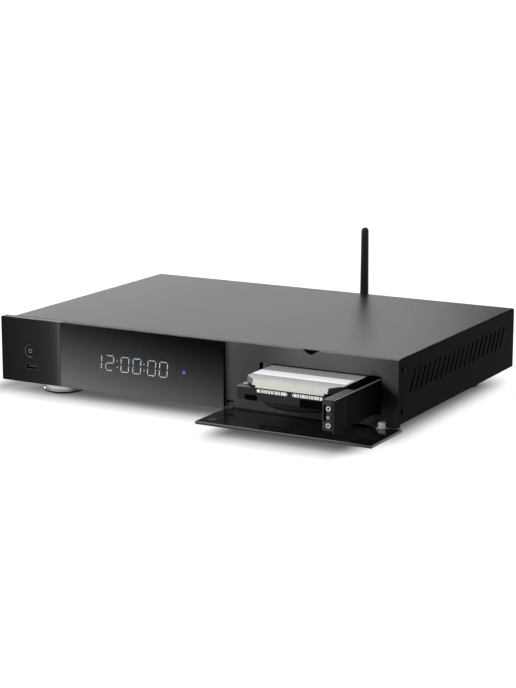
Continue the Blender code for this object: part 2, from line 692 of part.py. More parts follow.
def make_top_cover(looks):
    """Inverted U of sheet, with a row of slanted vents pierced through each side."""
    outer = [(CASE_LEFT, CASE_BOTTOM)]
    outer += arc((CASE_LEFT + COVER_BEND, CASE_TOP - COVER_BEND), COVER_BEND, pi, pi / 2, BEND_STEPS)
    outer += arc((CASE_RIGHT - COVER_BEND, CASE_TOP - COVER_BEND), COVER_BEND, pi / 2, 0.0, BEND_STEPS)
    outer += [(CASE_RIGHT, CASE_BOTTOM), (CASE_RIGHT - COVER_SHEET, CASE_BOTTOM)]
    inner_bend = COVER_BEND - COVER_SHEET
    outer += arc((CASE_RIGHT - COVER_BEND, CASE_TOP - COVER_BEND), inner_bend, 0.0, pi / 2, BEND_STEPS)
    outer += arc((CASE_LEFT + COVER_BEND, CASE_TOP - COVER_BEND), inner_bend, pi / 2, pi, BEND_STEPS)
    outer += [(CASE_LEFT + COVER_SHEET, CASE_BOTTOM)]
    cover = prism("top_cover", outer, "Y", (CASE_FRONT, CASE_BACK), looks)
    lean = atan2(VENT_LEAN, VENT_HEIGHT)
    length = hypot(VENT_LEAN, VENT_HEIGHT)
    first = PANEL_BACK + VENT_FIRST
    height = CASE_BOTTOM + VENT_MIDDLE_RISE
    slots = [slot_outline((first + VENT_PITCH * number, height), length, VENT_WIDTH, lean)
             for number in range(VENT_COUNT)]
    carve(cover, bars("vents_left", slots, "X", grown((CASE_LEFT, CASE_LEFT + COVER_SHEET), OVERRUN)),
          bars("vents_right", slots, "X", grown((CASE_RIGHT - COVER_SHEET, CASE_RIGHT), OVERRUN)))
    across = grown((CASE_LEFT, CASE_RIGHT), OVERRUN)
    for number, rise in enumerate(COVER_HOLE_RISES):
        centre = (0.0, PANEL_BACK + COVER_HOLE_INSET, CASE_BOTTOM + rise)
        carve(cover, rod(f"cover_holes_{number}", COVER_HOLE_RADIUS, "X", centre, across, SMALL_STEPS // 2))
    return shade(cover)


def rear_openings():
    """Outlines cut out of the rear panel: (across, up) for each rectangular socket."""
    return [((HDMI_LEFT, HDMI_LEFT + HDMI_WIDTH), (PORT_BOTTOM, PORT_BOTTOM + HDMI_HEIGHT)),
            ((LAN_LEFT, LAN_LEFT + LAN_WIDTH), (PORT_BOTTOM, PORT_BOTTOM + LAN_HEIGHT)),
            ((USB_STACK_LEFT, USB_STACK_LEFT + USB_STACK_WIDTH),
             (PORT_BOTTOM, PORT_BOTTOM + USB_STACK_HEIGHT)),
            (centred(INLET_X, INLET_WIDTH), centred(INLET_Z, INLET_HEIGHT)),
            (centred(ROCKER_X, ROCKER_WIDTH + 2 * ROCKER_FRAME_WALL),
             centred(INLET_Z, ROCKER_HEIGHT + 2 * ROCKER_FRAME_WALL))]


def rca_middles():
    """Where the round jacks stand: (x, z)."""
    return [(RCA_LEFT + RCA_PITCH * (number + 0.5), PORT_BOTTOM + RCA_BODY_HEIGHT / 2)
            for number in range(RCA_COUNT)]


def make_rear_panel(looks):
    panel = box("rear_panel", (INNER_LEFT, INNER_RIGHT), (REAR_INNER, REAR_FACE),
                (CASE_BOTTOM, INNER_TOP), looks)
    through = grown((REAR_INNER, REAR_FACE), OVERRUN)
    for number, (across, up) in enumerate(rear_openings()):
        carve(panel, box(f"rear_cut_{number}", grown(across, PORT_GAP), through, grown(up, PORT_GAP)))
    for number, (x, z) in enumerate(rca_middles()):
        radius = RCA_BARREL_RADIUS + PORT_GAP
        carve(panel, rod(f"rca_cut_{number}", radius, "Y", (x, 0.0, z), through, SMALL_STEPS))
    radius = CONNECTOR_RADIUS + PORT_GAP
    carve(panel, rod("antenna_cut", radius, "Y", (MAST_X, 0.0, MAST_Z), through, SMALL_STEPS))
    middle_x = (MAIN_X[0] + MAIN_X[1]) / 2 - REAR_VENT_PITCH * (REAR_VENT_COUNT - 1) / 2
    height = INNER_TOP - REAR_VENT_DROP
    slots = [slot_outline((middle_x + REAR_VENT_PITCH * number, height), REAR_VENT_LENGTH, REAR_VENT_WIDTH)
             for number in range(REAR_VENT_COUNT)]
    carve(panel, bars("rear_vents", slots, "Y", through))
    return panel


# Left end block

def make_end_block(looks):
    """Moulded end cap, open at the back, with bores for the button and the socket."""
    block = box("end_block", (PANEL_LEFT, BLOCK_RIGHT), (PANEL_FRONT, PANEL_BACK),
                (PANEL_BOTTOM, PANEL_TOP), looks)
    ease_edges(block, PANEL_EDGE)
    hollow = box("block_hollow", (PANEL_LEFT + BLOCK_WALL, BLOCK_RIGHT - BLOCK_WALL),
                 (PANEL_FRONT + BLOCK_WALL, PANEL_BACK + OVERRUN),
                 (PANEL_BOTTOM + BLOCK_WALL, PANEL_TOP - BLOCK_WALL))
    centre = (BLOCK_MIDDLE, PANEL_FRONT, PANEL_BOTTOM + BUTTON_HEIGHT)
    bore = rod("block_bore", RING_RADIUS + FIT, "Y", centre, (-OVERRUN, BLOCK_WALL + OVERRUN),
               ROUND_STEPS)
    socket = box("block_socket", grown(centred(BLOCK_MIDDLE, USB_WIDTH), FIT),
                 (PANEL_FRONT - OVERRUN, PANEL_FRONT + BLOCK_WALL + OVERRUN),
                 grown(centred(PANEL_BOTTOM + USB_RISE, USB_HEIGHT), FIT))
    carve(block, hollow, bore, socket)
    for number, (x, z) in enumerate(front_board_holes()):
        ends = (BLOCK_WALL / 2, front_board_front() - PANEL_FRONT - FIT)
        centre = (x, PANEL_FRONT, z)
        fuse(block, rod(f"block_boss_{number}", BOSS_RADIUS, "Y", centre, ends, SMALL_STEPS // 2))
    return shade(block)


def front_board_front():
    return PANEL_FRONT + BUTTON_SKIRT + BUTTON_TRAVEL + SWITCH_PLUNGER + SWITCH_DEPTH + 2 * FIT


def front_board_holes():
    across = grown(FRONT_BOARD_X, -BOSS_RADIUS - FIT)
    bottom = PANEL_BOTTOM + FRONT_BOARD_BOTTOM
    heights = (bottom + BOSS_RADIUS, bottom + FRONT_BOARD_HEIGHT - BOSS_RADIUS)
    return [(x, z) for x in across for z in heights]


def make_power_ring(looks):
    """Bright ring that lines the button's bore."""
    centre = (BLOCK_MIDDLE, PANEL_FRONT, PANEL_BOTTOM + BUTTON_HEIGHT)
    inside = RING_RADIUS - RING_WALL
    low = -RING_PROUD
    high = RING_DEPTH - 2 * RING_PROUD
    profile = [(0.0, low), (inside + RING_WALL / 2, low), (RING_RADIUS, low + RING_PROUD),
               (RING_RADIUS, high), (0.0, high)]
    ring = turned("power_ring", profile, "Y", centre, ROUND_STEPS, looks)
    bore = rod("ring_bore", inside, "Y", centre, (low - OVERRUN, high + OVERRUN), ROUND_STEPS)
    carve(ring, bore)
    return shade(ring)


def make_power_button(looks):
    """Domed cap whose stem reaches back to the switch's plunger."""
    centre = (BLOCK_MIDDLE, PANEL_FRONT, PANEL_BOTTOM + BUTTON_HEIGHT)
    radius = min(BUTTON_RADIUS, RING_RADIUS - RING_WALL - FIT)
    sphere = (radius ** 2 + BUTTON_DOME ** 2) / (2 * BUTTON_DOME)
    sweep = asin(radius / sphere)
    profile = []
    for step in range(BEND_STEPS + 1):
        angle = sweep * step / BEND_STEPS
        profile.append((sphere * sin(angle), -BUTTON_PROUD + sphere * (1 - cos(angle))))
    profile += [(radius, BUTTON_SKIRT / 2), (BUTTON_STEM_RADIUS, BUTTON_SKIRT / 2),
                (BUTTON_STEM_RADIUS, BUTTON_SKIRT), (0.0, BUTTON_SKIRT)]
    return shade(turned("power_button", profile, "Y", centre, ROUND_STEPS, looks, centre))


def make_front_board(looks):
    """Small upright board with a cut-out that the socket passes through."""
    front = front_board_front()
    bottom = PANEL_BOTTOM + FRONT_BOARD_BOTTOM
    board = box("front_board", FRONT_BOARD_X, (front, front + BOARD),
                (bottom, bottom + FRONT_BOARD_HEIGHT), looks)
    carve(board, box("board_socket_cut", grown(centred(BLOCK_MIDDLE, USB_WIDTH), FIT),
                     grown((front, front + BOARD), OVERRUN),
                     grown(centred(PANEL_BOTTOM + USB_RISE, USB_HEIGHT), FIT)))
    return board


def make_tact_switch(looks):
    back = front_board_front() - FIT
    height = PANEL_BOTTOM + BUTTON_HEIGHT
    switch = box("tact_switch", centred(BLOCK_MIDDLE, SWITCH_SIZE), (back - SWITCH_DEPTH, back),
                 centred(height, SWITCH_SIZE), looks)
    centre = (BLOCK_MIDDLE, back - SWITCH_DEPTH, height)
    fuse(switch, rod("switch_plunger", SWITCH_PLUNGER_RADIUS, "Y", centre,
                     (-SWITCH_PLUNGER + FIT, SWITCH_DEPTH / 2), SMALL_STEPS))
    return switch


def make_front_usb(looks):
    """Type A socket: a thin shell, its tongue and the wall that carries the tongue."""
    front = PANEL_FRONT + FIT
    inner_back = front + USB_DEPTH - USB_BACK_WALL
    height = PANEL_BOTTOM + USB_RISE
    shell = box("front_usb_port", centred(BLOCK_MIDDLE, USB_WIDTH), (front, front + USB_DEPTH),
                centred(height, USB_HEIGHT), looks)
    cavity = box("usb_cavity", centred(BLOCK_MIDDLE, USB_WIDTH - 2 * USB_SHELL),
                 (front - OVERRUN, inner_back), centred(height, USB_HEIGHT - 2 * USB_SHELL))
    tongue = box("usb_tongue", centred(BLOCK_MIDDLE, USB_TONGUE_WIDTH),
                 (front + USB_TONGUE_INSET, inner_back + USB_BACK_WALL / 2), centred(height, USB_TONGUE))
    carve(shell, cavity)
    fuse(shell, tongue)
    return shell


# Display

def make_display_window(looks):
    window = box("display_window", (WINDOW_LEFT, WINDOW_RIGHT),
                 (PANEL_FRONT, PANEL_FRONT + WINDOW_THICKNESS), (PANEL_BOTTOM, PANEL_TOP), looks)
    ease_edges(window, WINDOW_EDGE)
    return window


def display_spans():
    left = WINDOW_LEFT + WINDOW_WIDTH * DISPLAY_LEFT_SHARE
    bottom = PANEL_BOTTOM + DISPLAY_BOTTOM
    return (left, left + WINDOW_WIDTH * DISPLAY_WIDTH_SHARE), (bottom, bottom + DISPLAY_HEIGHT)


def make_display_frame(looks):
    """Carrier behind the window: a thick plate with pockets and the display's opening."""
    front = PANEL_FRONT + WINDOW_THICKNESS + FIT
    across = (WINDOW_LEFT, FASCIA_LEFT - FIT)
    frame = box("display_frame", across, (front, PANEL_BACK), (PANEL_BOTTOM, PANEL_TOP), looks)
    opening, up = display_spans()
    through = grown((front, PANEL_BACK), OVERRUN)
    carve(frame, box("display_cut", grown(opening, FIT), through, grown(up, FIT)))
    wall = BLOCK_WALL
    pocket_up = (PANEL_BOTTOM + wall, PANEL_TOP - wall)
    pocket_along = (PANEL_BACK - FRAME_RELIEF, PANEL_BACK + OVERRUN)
    left = (across[0] + wall, opening[0] - FIT - wall)
    right = (opening[1] + FIT + wall, across[1] - wall)
    carve(frame, box("frame_pocket_left", left, pocket_along, pocket_up),
          box("frame_pocket_right", right, pocket_along, pocket_up))
    return frame


def make_display_module(looks):
    across, up = display_spans()
    front = PANEL_FRONT + WINDOW_THICKNESS + FIT + DISPLAY_SINK
    module = box("display_module", across, (front, PANEL_BACK), up, looks)
    ease_edges(module, DISPLAY_EDGE)
    return shade(module)


# Bay fascia and flap

def pin_spans():
    """Where the two hinge pins lie along X."""
    left = (LEFT_SLOT[0] - PIN_SEAT, LEFT_SLOT[1] + PIN_SEAT)
    right = (RIGHT_SLOT[0] - PIN_SEAT, RIGHT_SLOT[1] + PIN_SEAT)
    return left, right


def make_bay_fascia(looks):
    """Plate round the drive opening, with hinge slots, pin bores and the catch's notch."""
    plate = box("bay_fascia", (FASCIA_LEFT, CASE_RIGHT), (FASCIA_FRONT, PANEL_BACK),
                (FASCIA_BOTTOM, PANEL_TOP), looks)
    through = grown((FASCIA_FRONT, PANEL_BACK), OVERRUN)
    opening = rounded((BAY_LEFT, BAY_RIGHT), (BAY_BOTTOM, BAY_TOP), BAY_CORNER, BEND_STEPS)
    carve(plate, prism("fascia_bay_cut", opening, "Y", through))
    slot_top = PANEL_BOTTOM + SLOT_TOP
    for side, slot, pin in zip(("left", "right"), (LEFT_SLOT, RIGHT_SLOT), pin_spans()):
        carve(plate, box(f"fascia_slot_{side}", slot, through, (FASCIA_BOTTOM - OVERRUN, slot_top)))
        bore = rod(f"fascia_bore_{side}", PIN_RADIUS + FIT, "X", (0.0, PIVOT_Y, PIVOT_Z),
                   grown(pin, FIT), SMALL_STEPS)
        carve(plate, bore)
    low = PANEL_TOP - NOTCH_DEPTH
    half = NOTCH_WIDTH / 2
    notch = [(FLAP_MIDDLE - half, PANEL_TOP + OVERRUN), (FLAP_MIDDLE - half, PANEL_TOP),
             (FLAP_MIDDLE - NOTCH_FLOOR / 2, low), (FLAP_MIDDLE + NOTCH_FLOOR / 2, low),
             (FLAP_MIDDLE + half, PANEL_TOP), (FLAP_MIDDLE + half, PANEL_TOP + OVERRUN)]
    depth = (FASCIA_FRONT - OVERRUN, FASCIA_FRONT + CATCH_DEPTH + FIT)
    carve(plate, prism("fascia_notch", notch, "Y", depth))
    return plate


def make_flap_catch(looks):
    """Keeper plate that stands at the back of the finger notch and follows its slanted sides."""
    spread = (NOTCH_WIDTH - NOTCH_FLOOR) / 2 / NOTCH_DEPTH
    low = PANEL_TOP - NOTCH_DEPTH + FIT
    high = PANEL_TOP - CATCH_DROP
    narrow = NOTCH_FLOOR / 2 - CATCH_GAP + spread * FIT
    wide = NOTCH_WIDTH / 2 - CATCH_GAP - spread * CATCH_DROP
    outline = [(FLAP_MIDDLE - narrow, low), (FLAP_MIDDLE + narrow, low),
               (FLAP_MIDDLE + wide, high), (FLAP_MIDDLE - wide, high)]
    back = FASCIA_FRONT + CATCH_DEPTH
    return prism("flap_catch", outline, "Y", (back - CATCH_SHEET, back), looks)


def make_flap(looks, pivot):
    """Drop-down door, modelled open: its inner face looks up."""
    origin = (FLAP_MIDDLE, PIVOT_Y, PIVOT_Z)
    flap = box("flap", (FLAP_LEFT, PANEL_RIGHT), (FLAP_FRONT, FLAP_BACK), (FLAP_BOTTOM, FLAP_TOP),
               looks, origin)
    ease_edges(flap, FLAP_EDGE)
    ends = (FLAP_TOP - MAGNET_DEPTH - FIT, FLAP_TOP + OVERRUN)
    carve(flap, rod("flap_pocket", MAGNET_RADIUS + FIT, "Z", magnet_centre(), ends, SMALL_STEPS))
    hang(flap, pivot)
    return flap


def magnet_centre():
    return (FLAP_LEFT + MAGNET_FROM_SIDE, FLAP_FRONT + MAGNET_FROM_EDGE, 0.0)


def make_flap_magnet(looks, pivot):
    ends = (FLAP_TOP - MAGNET_DEPTH, FLAP_TOP)
    hang(shade(rod("flap_magnet", MAGNET_RADIUS, "Z", magnet_centre(), ends, SMALL_STEPS, looks)), pivot)


def hinge_arm_outline():
    """Side view of a hinge arm: barrel round the pin, short neck, and foot on the flap."""
    foot_low = FLAP_TOP + FIT
    foot_high = foot_low + ARM_FOOT
    knuckle = arc((PIVOT_Y, PIVOT_Z), KNUCKLE_RADIUS, radians(-60.0), radians(200.0),
                  SMALL_STEPS * 2 // 3)
    return ([(PIVOT_Y - ARM_FOOT_REACH, foot_low), (PIVOT_Y, foot_low)] + knuckle
            + [(PIVOT_Y - ARM_NECK_REACH, foot_high), (PIVOT_Y - ARM_FOOT_REACH, foot_high)])


def make_hinge_arms(looks, pivot):
    for side, slot in (("left", LEFT_SLOT), ("right", RIGHT_SLOT)):
        middle = (slot[0] + slot[1]) / 2
        origin = (middle, PIVOT_Y, PIVOT_Z)
        arm = prism(f"hinge_arm_{side}", hinge_arm_outline(), "X", centred(middle, ARM_WIDTH),
                    looks, origin)
        bore = rod(f"arm_bore_{side}", PIN_RADIUS + FIT, "X", (0.0, PIVOT_Y, PIVOT_Z),
                   grown(slot, OVERRUN), SMALL_STEPS)
        carve(arm, bore)
        hang(shade(arm), pivot)


def make_hinge_pins(looks):
    for side, ends in zip(("left", "right"), pin_spans()):
        shade(rod(f"hinge_pin_{side}", PIN_RADIUS, "X", (0.0, PIVOT_Y, PIVOT_Z), ends,
                  SMALL_STEPS, looks))


# Drive cage, fixed in the case

def make_drive_cage(looks):
    """Bent channel on the pan, open at the front, with inward lips along its top."""
    left, right = CAGE_LEFT - CAGE_SHEET, CAGE_RIGHT + CAGE_SHEET
    bottom = CAGE_FLOOR - CAGE_SHEET
    under_lip = CAGE_TOP - CAGE_SHEET
    outline = [(left, bottom), (right, bottom), (right, CAGE_TOP), (CAGE_RIGHT - CAGE_LIP, CAGE_TOP),
               (CAGE_RIGHT - CAGE_LIP, under_lip), (CAGE_RIGHT, under_lip), (CAGE_RIGHT, CAGE_FLOOR),
               (CAGE_LEFT, CAGE_FLOOR), (CAGE_LEFT, under_lip), (CAGE_LEFT + CAGE_LIP, under_lip),
               (CAGE_LEFT + CAGE_LIP, CAGE_TOP), (left, CAGE_TOP)]
    return prism("drive_cage", outline, "Y", (CAGE_FRONT, CAGE_BACK), looks)


def make_guides(looks):
    """Moulded channels on the cage's floor and sides, in which rail and tray run."""
    floor = CAGE_FLOOR + FIT
    rest = RAIL_BOTTOM - RUN
    right = CAGE_RIGHT - FIT
    back_wall = RAIL_RIGHT + RUN
    under_cap = RAIL_TOP + RUN
    cap = under_cap + GUIDE_CAP
    outline = [(right - GUIDE_LIP, floor), (right, floor), (right, cap), (right - GUIDE_UPPER_LIP, cap),
               (right - GUIDE_UPPER_LIP, under_cap), (back_wall, under_cap), (back_wall, rest),
               (right - GUIDE_LIP, rest)]
    along = (CAGE_FRONT, BACKPLANE_FRONT - FIT)
    prism("guide_right", outline, "Y", along, looks)
    left = CAGE_LEFT + FIT
    inner = left + LEFT_GUIDE_WIDTH
    wall = TRAY_LEFT - RUN
    over = TRAY_TOP + RUN
    outline = [(left, floor), (inner, floor), (inner, rest), (wall, rest), (wall, over), (inner, over),
               (inner, over + LEFT_GUIDE_CAP), (left, over + LEFT_GUIDE_CAP)]
    prism("guide_left", outline, "Y", along, looks)


def make_earth_spring(looks):
    """Bowed leaf on the cage's left side, just inside the opening."""
    low = CAGE_LEFT + FIT
    start = CAGE_FRONT + SPRING_START
    steps = SMALL_STEPS // 2
    near, far = [], []
    for step in range(steps + 1):
        share = step / steps
        bow = sin(pi * share)
        y = start + SPRING_LENGTH * share
        near.append((low + SPRING_BULGE * bow, y))
        far.append((low + SPRING_SHEET + SPRING_BULGE * bow, y))
    top = CAGE_TOP - CAGE_SHEET - SPRING_TOP_DROP
    return prism("earth_spring", near + far[::-1], "Z", (top - SPRING_HEIGHT, top), looks)


def make_backplane(looks):
    return box("backplane_board", (CAGE_LEFT + FIT, CAGE_RIGHT - FIT), (BACKPLANE_FRONT, BACKPLANE_BACK),
               (CAGE_FLOOR + FIT, CAGE_TOP - BACKPLANE_TOP_GAP), looks)


def plug_height():
    return DRIVE_BOTTOM + PLUG_RISE + PLUG_HEIGHT / 2


def make_sata_socket(looks):
    """Socket on the backplane that the drive's plug reaches when the carrier is in."""
    return box("sata_socket", centred(DRIVE_MIDDLE, SOCKET_WIDTH), (SOCKET_FRONT, BACKPLANE_FRONT - FIT),
               centred(plug_height(), SOCKET_HEIGHT), looks)


# Carrier

def make_carrier_rail(looks, pivot):
    """Long outer wall of the carrier, from its front face back to the tray's end."""
    rail = box("carrier_rail", (RAIL_LEFT, RAIL_RIGHT), (CARRIER_FRONT, TRAY_BACK),
               (RAIL_BOTTOM, RAIL_TOP), looks)
    ease_edges(rail, RAIL_EDGE)
    hang(rail, pivot)


def latch_centre():
    return (LATCH_X, CARRIER_FRONT, HOUSING_BOTTOM + LATCH_RISE)


def screw_centres():
    x = latch_centre()[0]
    low = HOUSING_BOTTOM + SCREW_RISE
    return (("lower", x, low), ("upper", x, low + SCREW_PITCH))


def make_latch_housing(looks, pivot):
    """Latch box at the carrier's front end, hollow behind, with its slot and bores."""
    across = (HOUSING_LEFT, HOUSING_RIGHT)
    up = (HOUSING_BOTTOM, RAIL_TOP)
    housing = box("latch_housing", across, (CARRIER_FRONT, HOUSING_BACK), up, looks)
    ease_edges(housing, HOUSING_EDGE)
    hollow = box("housing_hollow", grown(across, -HOUSING_WALL),
                 (CARRIER_FRONT + SCREW_LENGTH + HOUSING_WALL, HOUSING_BACK + OVERRUN),
                 grown(up, -HOUSING_WALL))
    low = HOUSING_BOTTOM + HOUSING_SLOT_RISE
    slot_left = HOUSING_LEFT + HOUSING_SLOT_INSET
    slot = box("housing_slot", (slot_left, slot_left + HOUSING_SLOT_WIDTH),
               (CARRIER_FRONT - OVERRUN, CARRIER_FRONT + HOUSING_SLOT_DEPTH),
               (low, low + HOUSING_SLOT_HEIGHT))
    carve(housing, hollow, slot)
    x, y, z = latch_centre()
    carve(housing, rod("latch_bore", LATCH_BUTTON_RADIUS + FIT, "Y", (x, y, z),
                       (-OVERRUN, LATCH_BUTTON_DEPTH + LATCH_TRAVEL), SMALL_STEPS))
    for side, x, z in screw_centres():
        bore = rod(f"housing_bore_{side}", SCREW_SHANK_RADIUS + FIT, "Y", (x, CARRIER_FRONT, z),
                   (-OVERRUN, SCREW_LENGTH + FIT), SMALL_STEPS)
        carve(housing, bore)
    hang(housing, pivot)


def make_housing_screws(looks, pivot):
    """Two socket screws with round heads on the housing's front face."""
    for side, x, z in screw_centres():
        centre = (x, CARRIER_FRONT, z)
        low = -SCREW_HEAD - FIT
        profile = [(0.0, low + SCREW_SOCKET_DEPTH), (SCREW_SOCKET_RADIUS, low + SCREW_SOCKET_DEPTH),
                   (SCREW_SOCKET_RADIUS, low), (SCREW_HEAD_RADIUS - SCREW_HEAD / 2, low),
                   (SCREW_HEAD_RADIUS, low + SCREW_HEAD / 2), (SCREW_HEAD_RADIUS, -FIT),
                   (SCREW_SHANK_RADIUS, -FIT), (SCREW_SHANK_RADIUS, SCREW_LENGTH), (0.0, SCREW_LENGTH)]
        screw = turned(f"housing_screw_{side}", profile, "Y", centre, SMALL_STEPS, looks, centre)
        hang(shade(screw), pivot)


def make_latch_button(looks, pivot):
    centre = latch_centre()
    dome = LATCH_BUTTON_RADIUS / 3
    profile = [(0.0, -LATCH_BUTTON_PROUD), (LATCH_BUTTON_RADIUS - dome, -LATCH_BUTTON_PROUD),
               (LATCH_BUTTON_RADIUS, -LATCH_BUTTON_PROUD + dome),
               (LATCH_BUTTON_RADIUS, LATCH_BUTTON_DEPTH - FIT), (0.0, LATCH_BUTTON_DEPTH - FIT)]
    hang(shade(turned("latch_button", profile, "Y", centre, SMALL_STEPS, looks, centre)), pivot)


def grommet_places():
    """Where the tray's four mounting posts stand under the drive."""
    along = (DRIVE_BACK - REAR_BLOCK_LENGTH + GROMMET_HOLE_INSET, TRAY_BACK - GROMMET_HOLE_INSET)
    across = (DRIVE_LEFT + GROMMET_RADIUS, DRIVE_RIGHT - GROMMET_RADIUS)
    return [(x, y) for x in across for y in along]


def make_carrier_tray(looks, pivot):
    """Plate under the drive's rear half, with four rubber-capped posts."""
    tray = box("carrier_tray", (TRAY_LEFT, RAIL_LEFT - FIT), (TRAY_FRONT, TRAY_BACK),
               (RAIL_BOTTOM, TRAY_TOP), looks)
    for number, (x, y) in enumerate(grommet_places()):
        ends = (RAIL_BOTTOM + TRAY_SHEET / 2, TRAY_TOP + GROMMET_HEIGHT)
        fuse(tray, rod(f"tray_post_{number}", GROMMET_RADIUS, "Z", (x, y, 0.0), ends, SMALL_STEPS))
    hang(tray, pivot)


# Hard drive

def make_drive_base(looks, pivot):
    """Cast body: a slab with the round disc chamber and the rear block below it."""
    outline = rounded((DRIVE_LEFT, DRIVE_RIGHT), (DRIVE_FRONT, DRIVE_BACK), DRIVE_CORNER, BEND_STEPS)
    base = prism("drive_base", outline, "Z", (SLAB_BOTTOM, SLAB_TOP), looks)
    drum_y = DRIVE_FRONT + DRUM_FRONT_INSET + DRUM_RADIUS
    profile = [(0.0, DRIVE_BOTTOM), (DRUM_RADIUS - DRUM_SLOPE, DRIVE_BOTTOM),
               (DRUM_RADIUS, DRIVE_BOTTOM + DRUM_SLOPE), (DRUM_RADIUS, SLAB_BOTTOM + FIT),
               (0.0, SLAB_BOTTOM + FIT)]
    drum = turned("drive_drum", profile, "Z", (DRIVE_MIDDLE, drum_y, 0.0), ROUND_STEPS)
    block = box("drive_rear_block", (DRIVE_LEFT, DRIVE_RIGHT),
                (DRIVE_BACK - REAR_BLOCK_LENGTH, DRIVE_BACK), (DRIVE_BOTTOM, SLAB_BOTTOM + FIT))
    fuse(base, drum, block)
    board_across, board_along = drive_board_spans()
    board_cut = box("drive_board_cut", grown(board_across, FIT), grown(board_along, FIT),
                    (DRIVE_BOTTOM - OVERRUN, DRIVE_BOTTOM + DRIVE_BOARD_SINK + FIT))
    plug_up = centred(plug_height(), PLUG_HEIGHT)
    plug_cut = box("drive_plug_cut", grown(centred(DRIVE_MIDDLE, PLUG_WIDTH), FIT),
                   (DRIVE_BACK - PLUG_DEPTH - FIT, DRIVE_BACK + OVERRUN),
                   (DRIVE_BOTTOM - OVERRUN, plug_up[1] + FIT))
    carve(base, board_cut, plug_cut)
    hang(shade(base), pivot)


def drive_board_spans():
    across = (DRIVE_LEFT + DRIVE_BOARD_SIDE, DRIVE_RIGHT - DRIVE_BOARD_SIDE)
    back = DRIVE_BACK - PLUG_DEPTH - 2 * FIT
    return across, (back - DRIVE_BOARD_LENGTH, back)


def make_drive_lid(looks, pivot):
    """Pressed lid with clipped front corners, a sloped front lip and a shallow raised field."""
    left, right = DRIVE_LEFT + LID_SIDE_STEP, DRIVE_RIGHT - LID_SIDE_STEP
    front, back = DRIVE_FRONT + LID_FRONT_STEP, DRIVE_BACK - LID_SIDE_STEP
    foot = lid_outline(left, right, front, back, 0.0)
    brow = lid_outline(left, right, front + LID_LIP, back, LID_DRAFT)
    lid = drafted("drive_lid", foot, brow, (SLAB_TOP + FIT, DRIVE_TOP - LID_PRESSING), looks)
    ease_edges(lid, LID_EDGE)
    field = lid_outline(left, right, front + LID_LIP, back, LID_PRESSING_INSET)
    fuse(lid, prism("lid_field", field, "Z", (DRIVE_TOP - LID_HEIGHT / 2, DRIVE_TOP)))
    hang(lid, pivot)


def lid_outline(left, right, front, back, inset):
    across = LID_CHAMFER_ACROSS + inset / 2
    along = front + LID_CHAMFER_ALONG + inset / 2
    return [(left + across, front + inset), (right - across, front + inset), (right - inset, along),
            (right - inset, back - inset), (left + inset, back - inset), (left + inset, along)]


def make_drive_board(looks, pivot):
    across, along = drive_board_spans()
    top = DRIVE_BOTTOM + DRIVE_BOARD_SINK
    hang(box("drive_board", across, along, (top - BOARD, top), looks), pivot)


def make_drive_plug(looks, pivot):
    """Power and data plug at the drive's back: a block with its two slots."""
    along = (DRIVE_BACK - PLUG_DEPTH, DRIVE_BACK)
    up = centred(plug_height(), PLUG_HEIGHT)
    plug = box("drive_plug", centred(DRIVE_MIDDLE, PLUG_WIDTH), along, up, looks)
    slot = box("plug_slot", centred(DRIVE_MIDDLE, SOCKET_TONGUE_WIDTH),
               (DRIVE_BACK - PLUG_DEPTH / 2, DRIVE_BACK + OVERRUN), centred(plug_height(), PLUG_SLOT))
    carve(plug, slot)
    hang(plug, pivot)


# Boards and what stands on them

def make_main_board(looks):
    return box("main_board", MAIN_X, MAIN_Y, (BOARD_BOTTOM, BOARD_TOP), looks)


def make_heat_sink(looks):
    """Extruded heat sink: the comb outline is drawn once and extruded along Y."""
    bottom = BOARD_TOP + FIT
    top = bottom + SINK_HEIGHT
    pitch = (SINK_SIZE - SINK_FIN) / (SINK_FINS - 1)
    outline = [(SINK_LEFT + SINK_SIZE, bottom), (SINK_LEFT, bottom)]
    for number in range(SINK_FINS):
        start = SINK_LEFT + pitch * number
        outline += [(start, top), (start + SINK_FIN, top)]
        if number < SINK_FINS - 1:
            outline += [(start + SINK_FIN, bottom + SINK_BASE), (start + pitch, bottom + SINK_BASE)]
    front = MAIN_Y[0] + SINK_FRONT
    return prism("heat_sink", outline, "Y", (front, front + SINK_SIZE), looks)


def make_power_board(looks):
    """Supply board with its transformer core and capacitor soldered on."""
    board = box("power_board", POWER_X, POWER_Y, (BOARD_BOTTOM, BOARD_TOP), looks)
    middle_y = (POWER_Y[0] + POWER_Y[1]) / 2
    core_x = POWER_X[0] + POWER_WIDTH / 3
    core = box("supply_core", centred(core_x, CORE_WIDTH), centred(middle_y, CORE_DEPTH),
               (BOARD_TOP - BOARD / 2, BOARD_TOP + CORE_HEIGHT))
    tube = rod("supply_capacitor", CAPACITOR_RADIUS, "Z", (core_x + POWER_WIDTH / 3, middle_y, 0.0),
               (BOARD_TOP - BOARD / 2, BOARD_TOP + CAPACITOR_HEIGHT), SMALL_STEPS)
    fuse(board, core, tube)
    return board


# Sockets at the back

def make_hdmi_port(looks):
    across, up = rear_openings()[0]
    back = REAR_FACE + PORT_PROUD
    port = box("hdmi_port", across, (back - HDMI_DEPTH, back), up, looks)
    wall = USB_SHELL
    inner = back - HDMI_DEPTH + USB_BACK_WALL
    cavity = box("hdmi_cavity", grown(across, -wall), (inner, back + OVERRUN), grown(up, -wall))
    tongue = box("hdmi_tongue", grown(across, -4 * wall), (inner - USB_BACK_WALL / 2, back - PORT_PROUD),
                 centred((up[0] + up[1]) / 2, 2 * wall))
    carve(port, cavity)
    fuse(port, tongue)
    return port


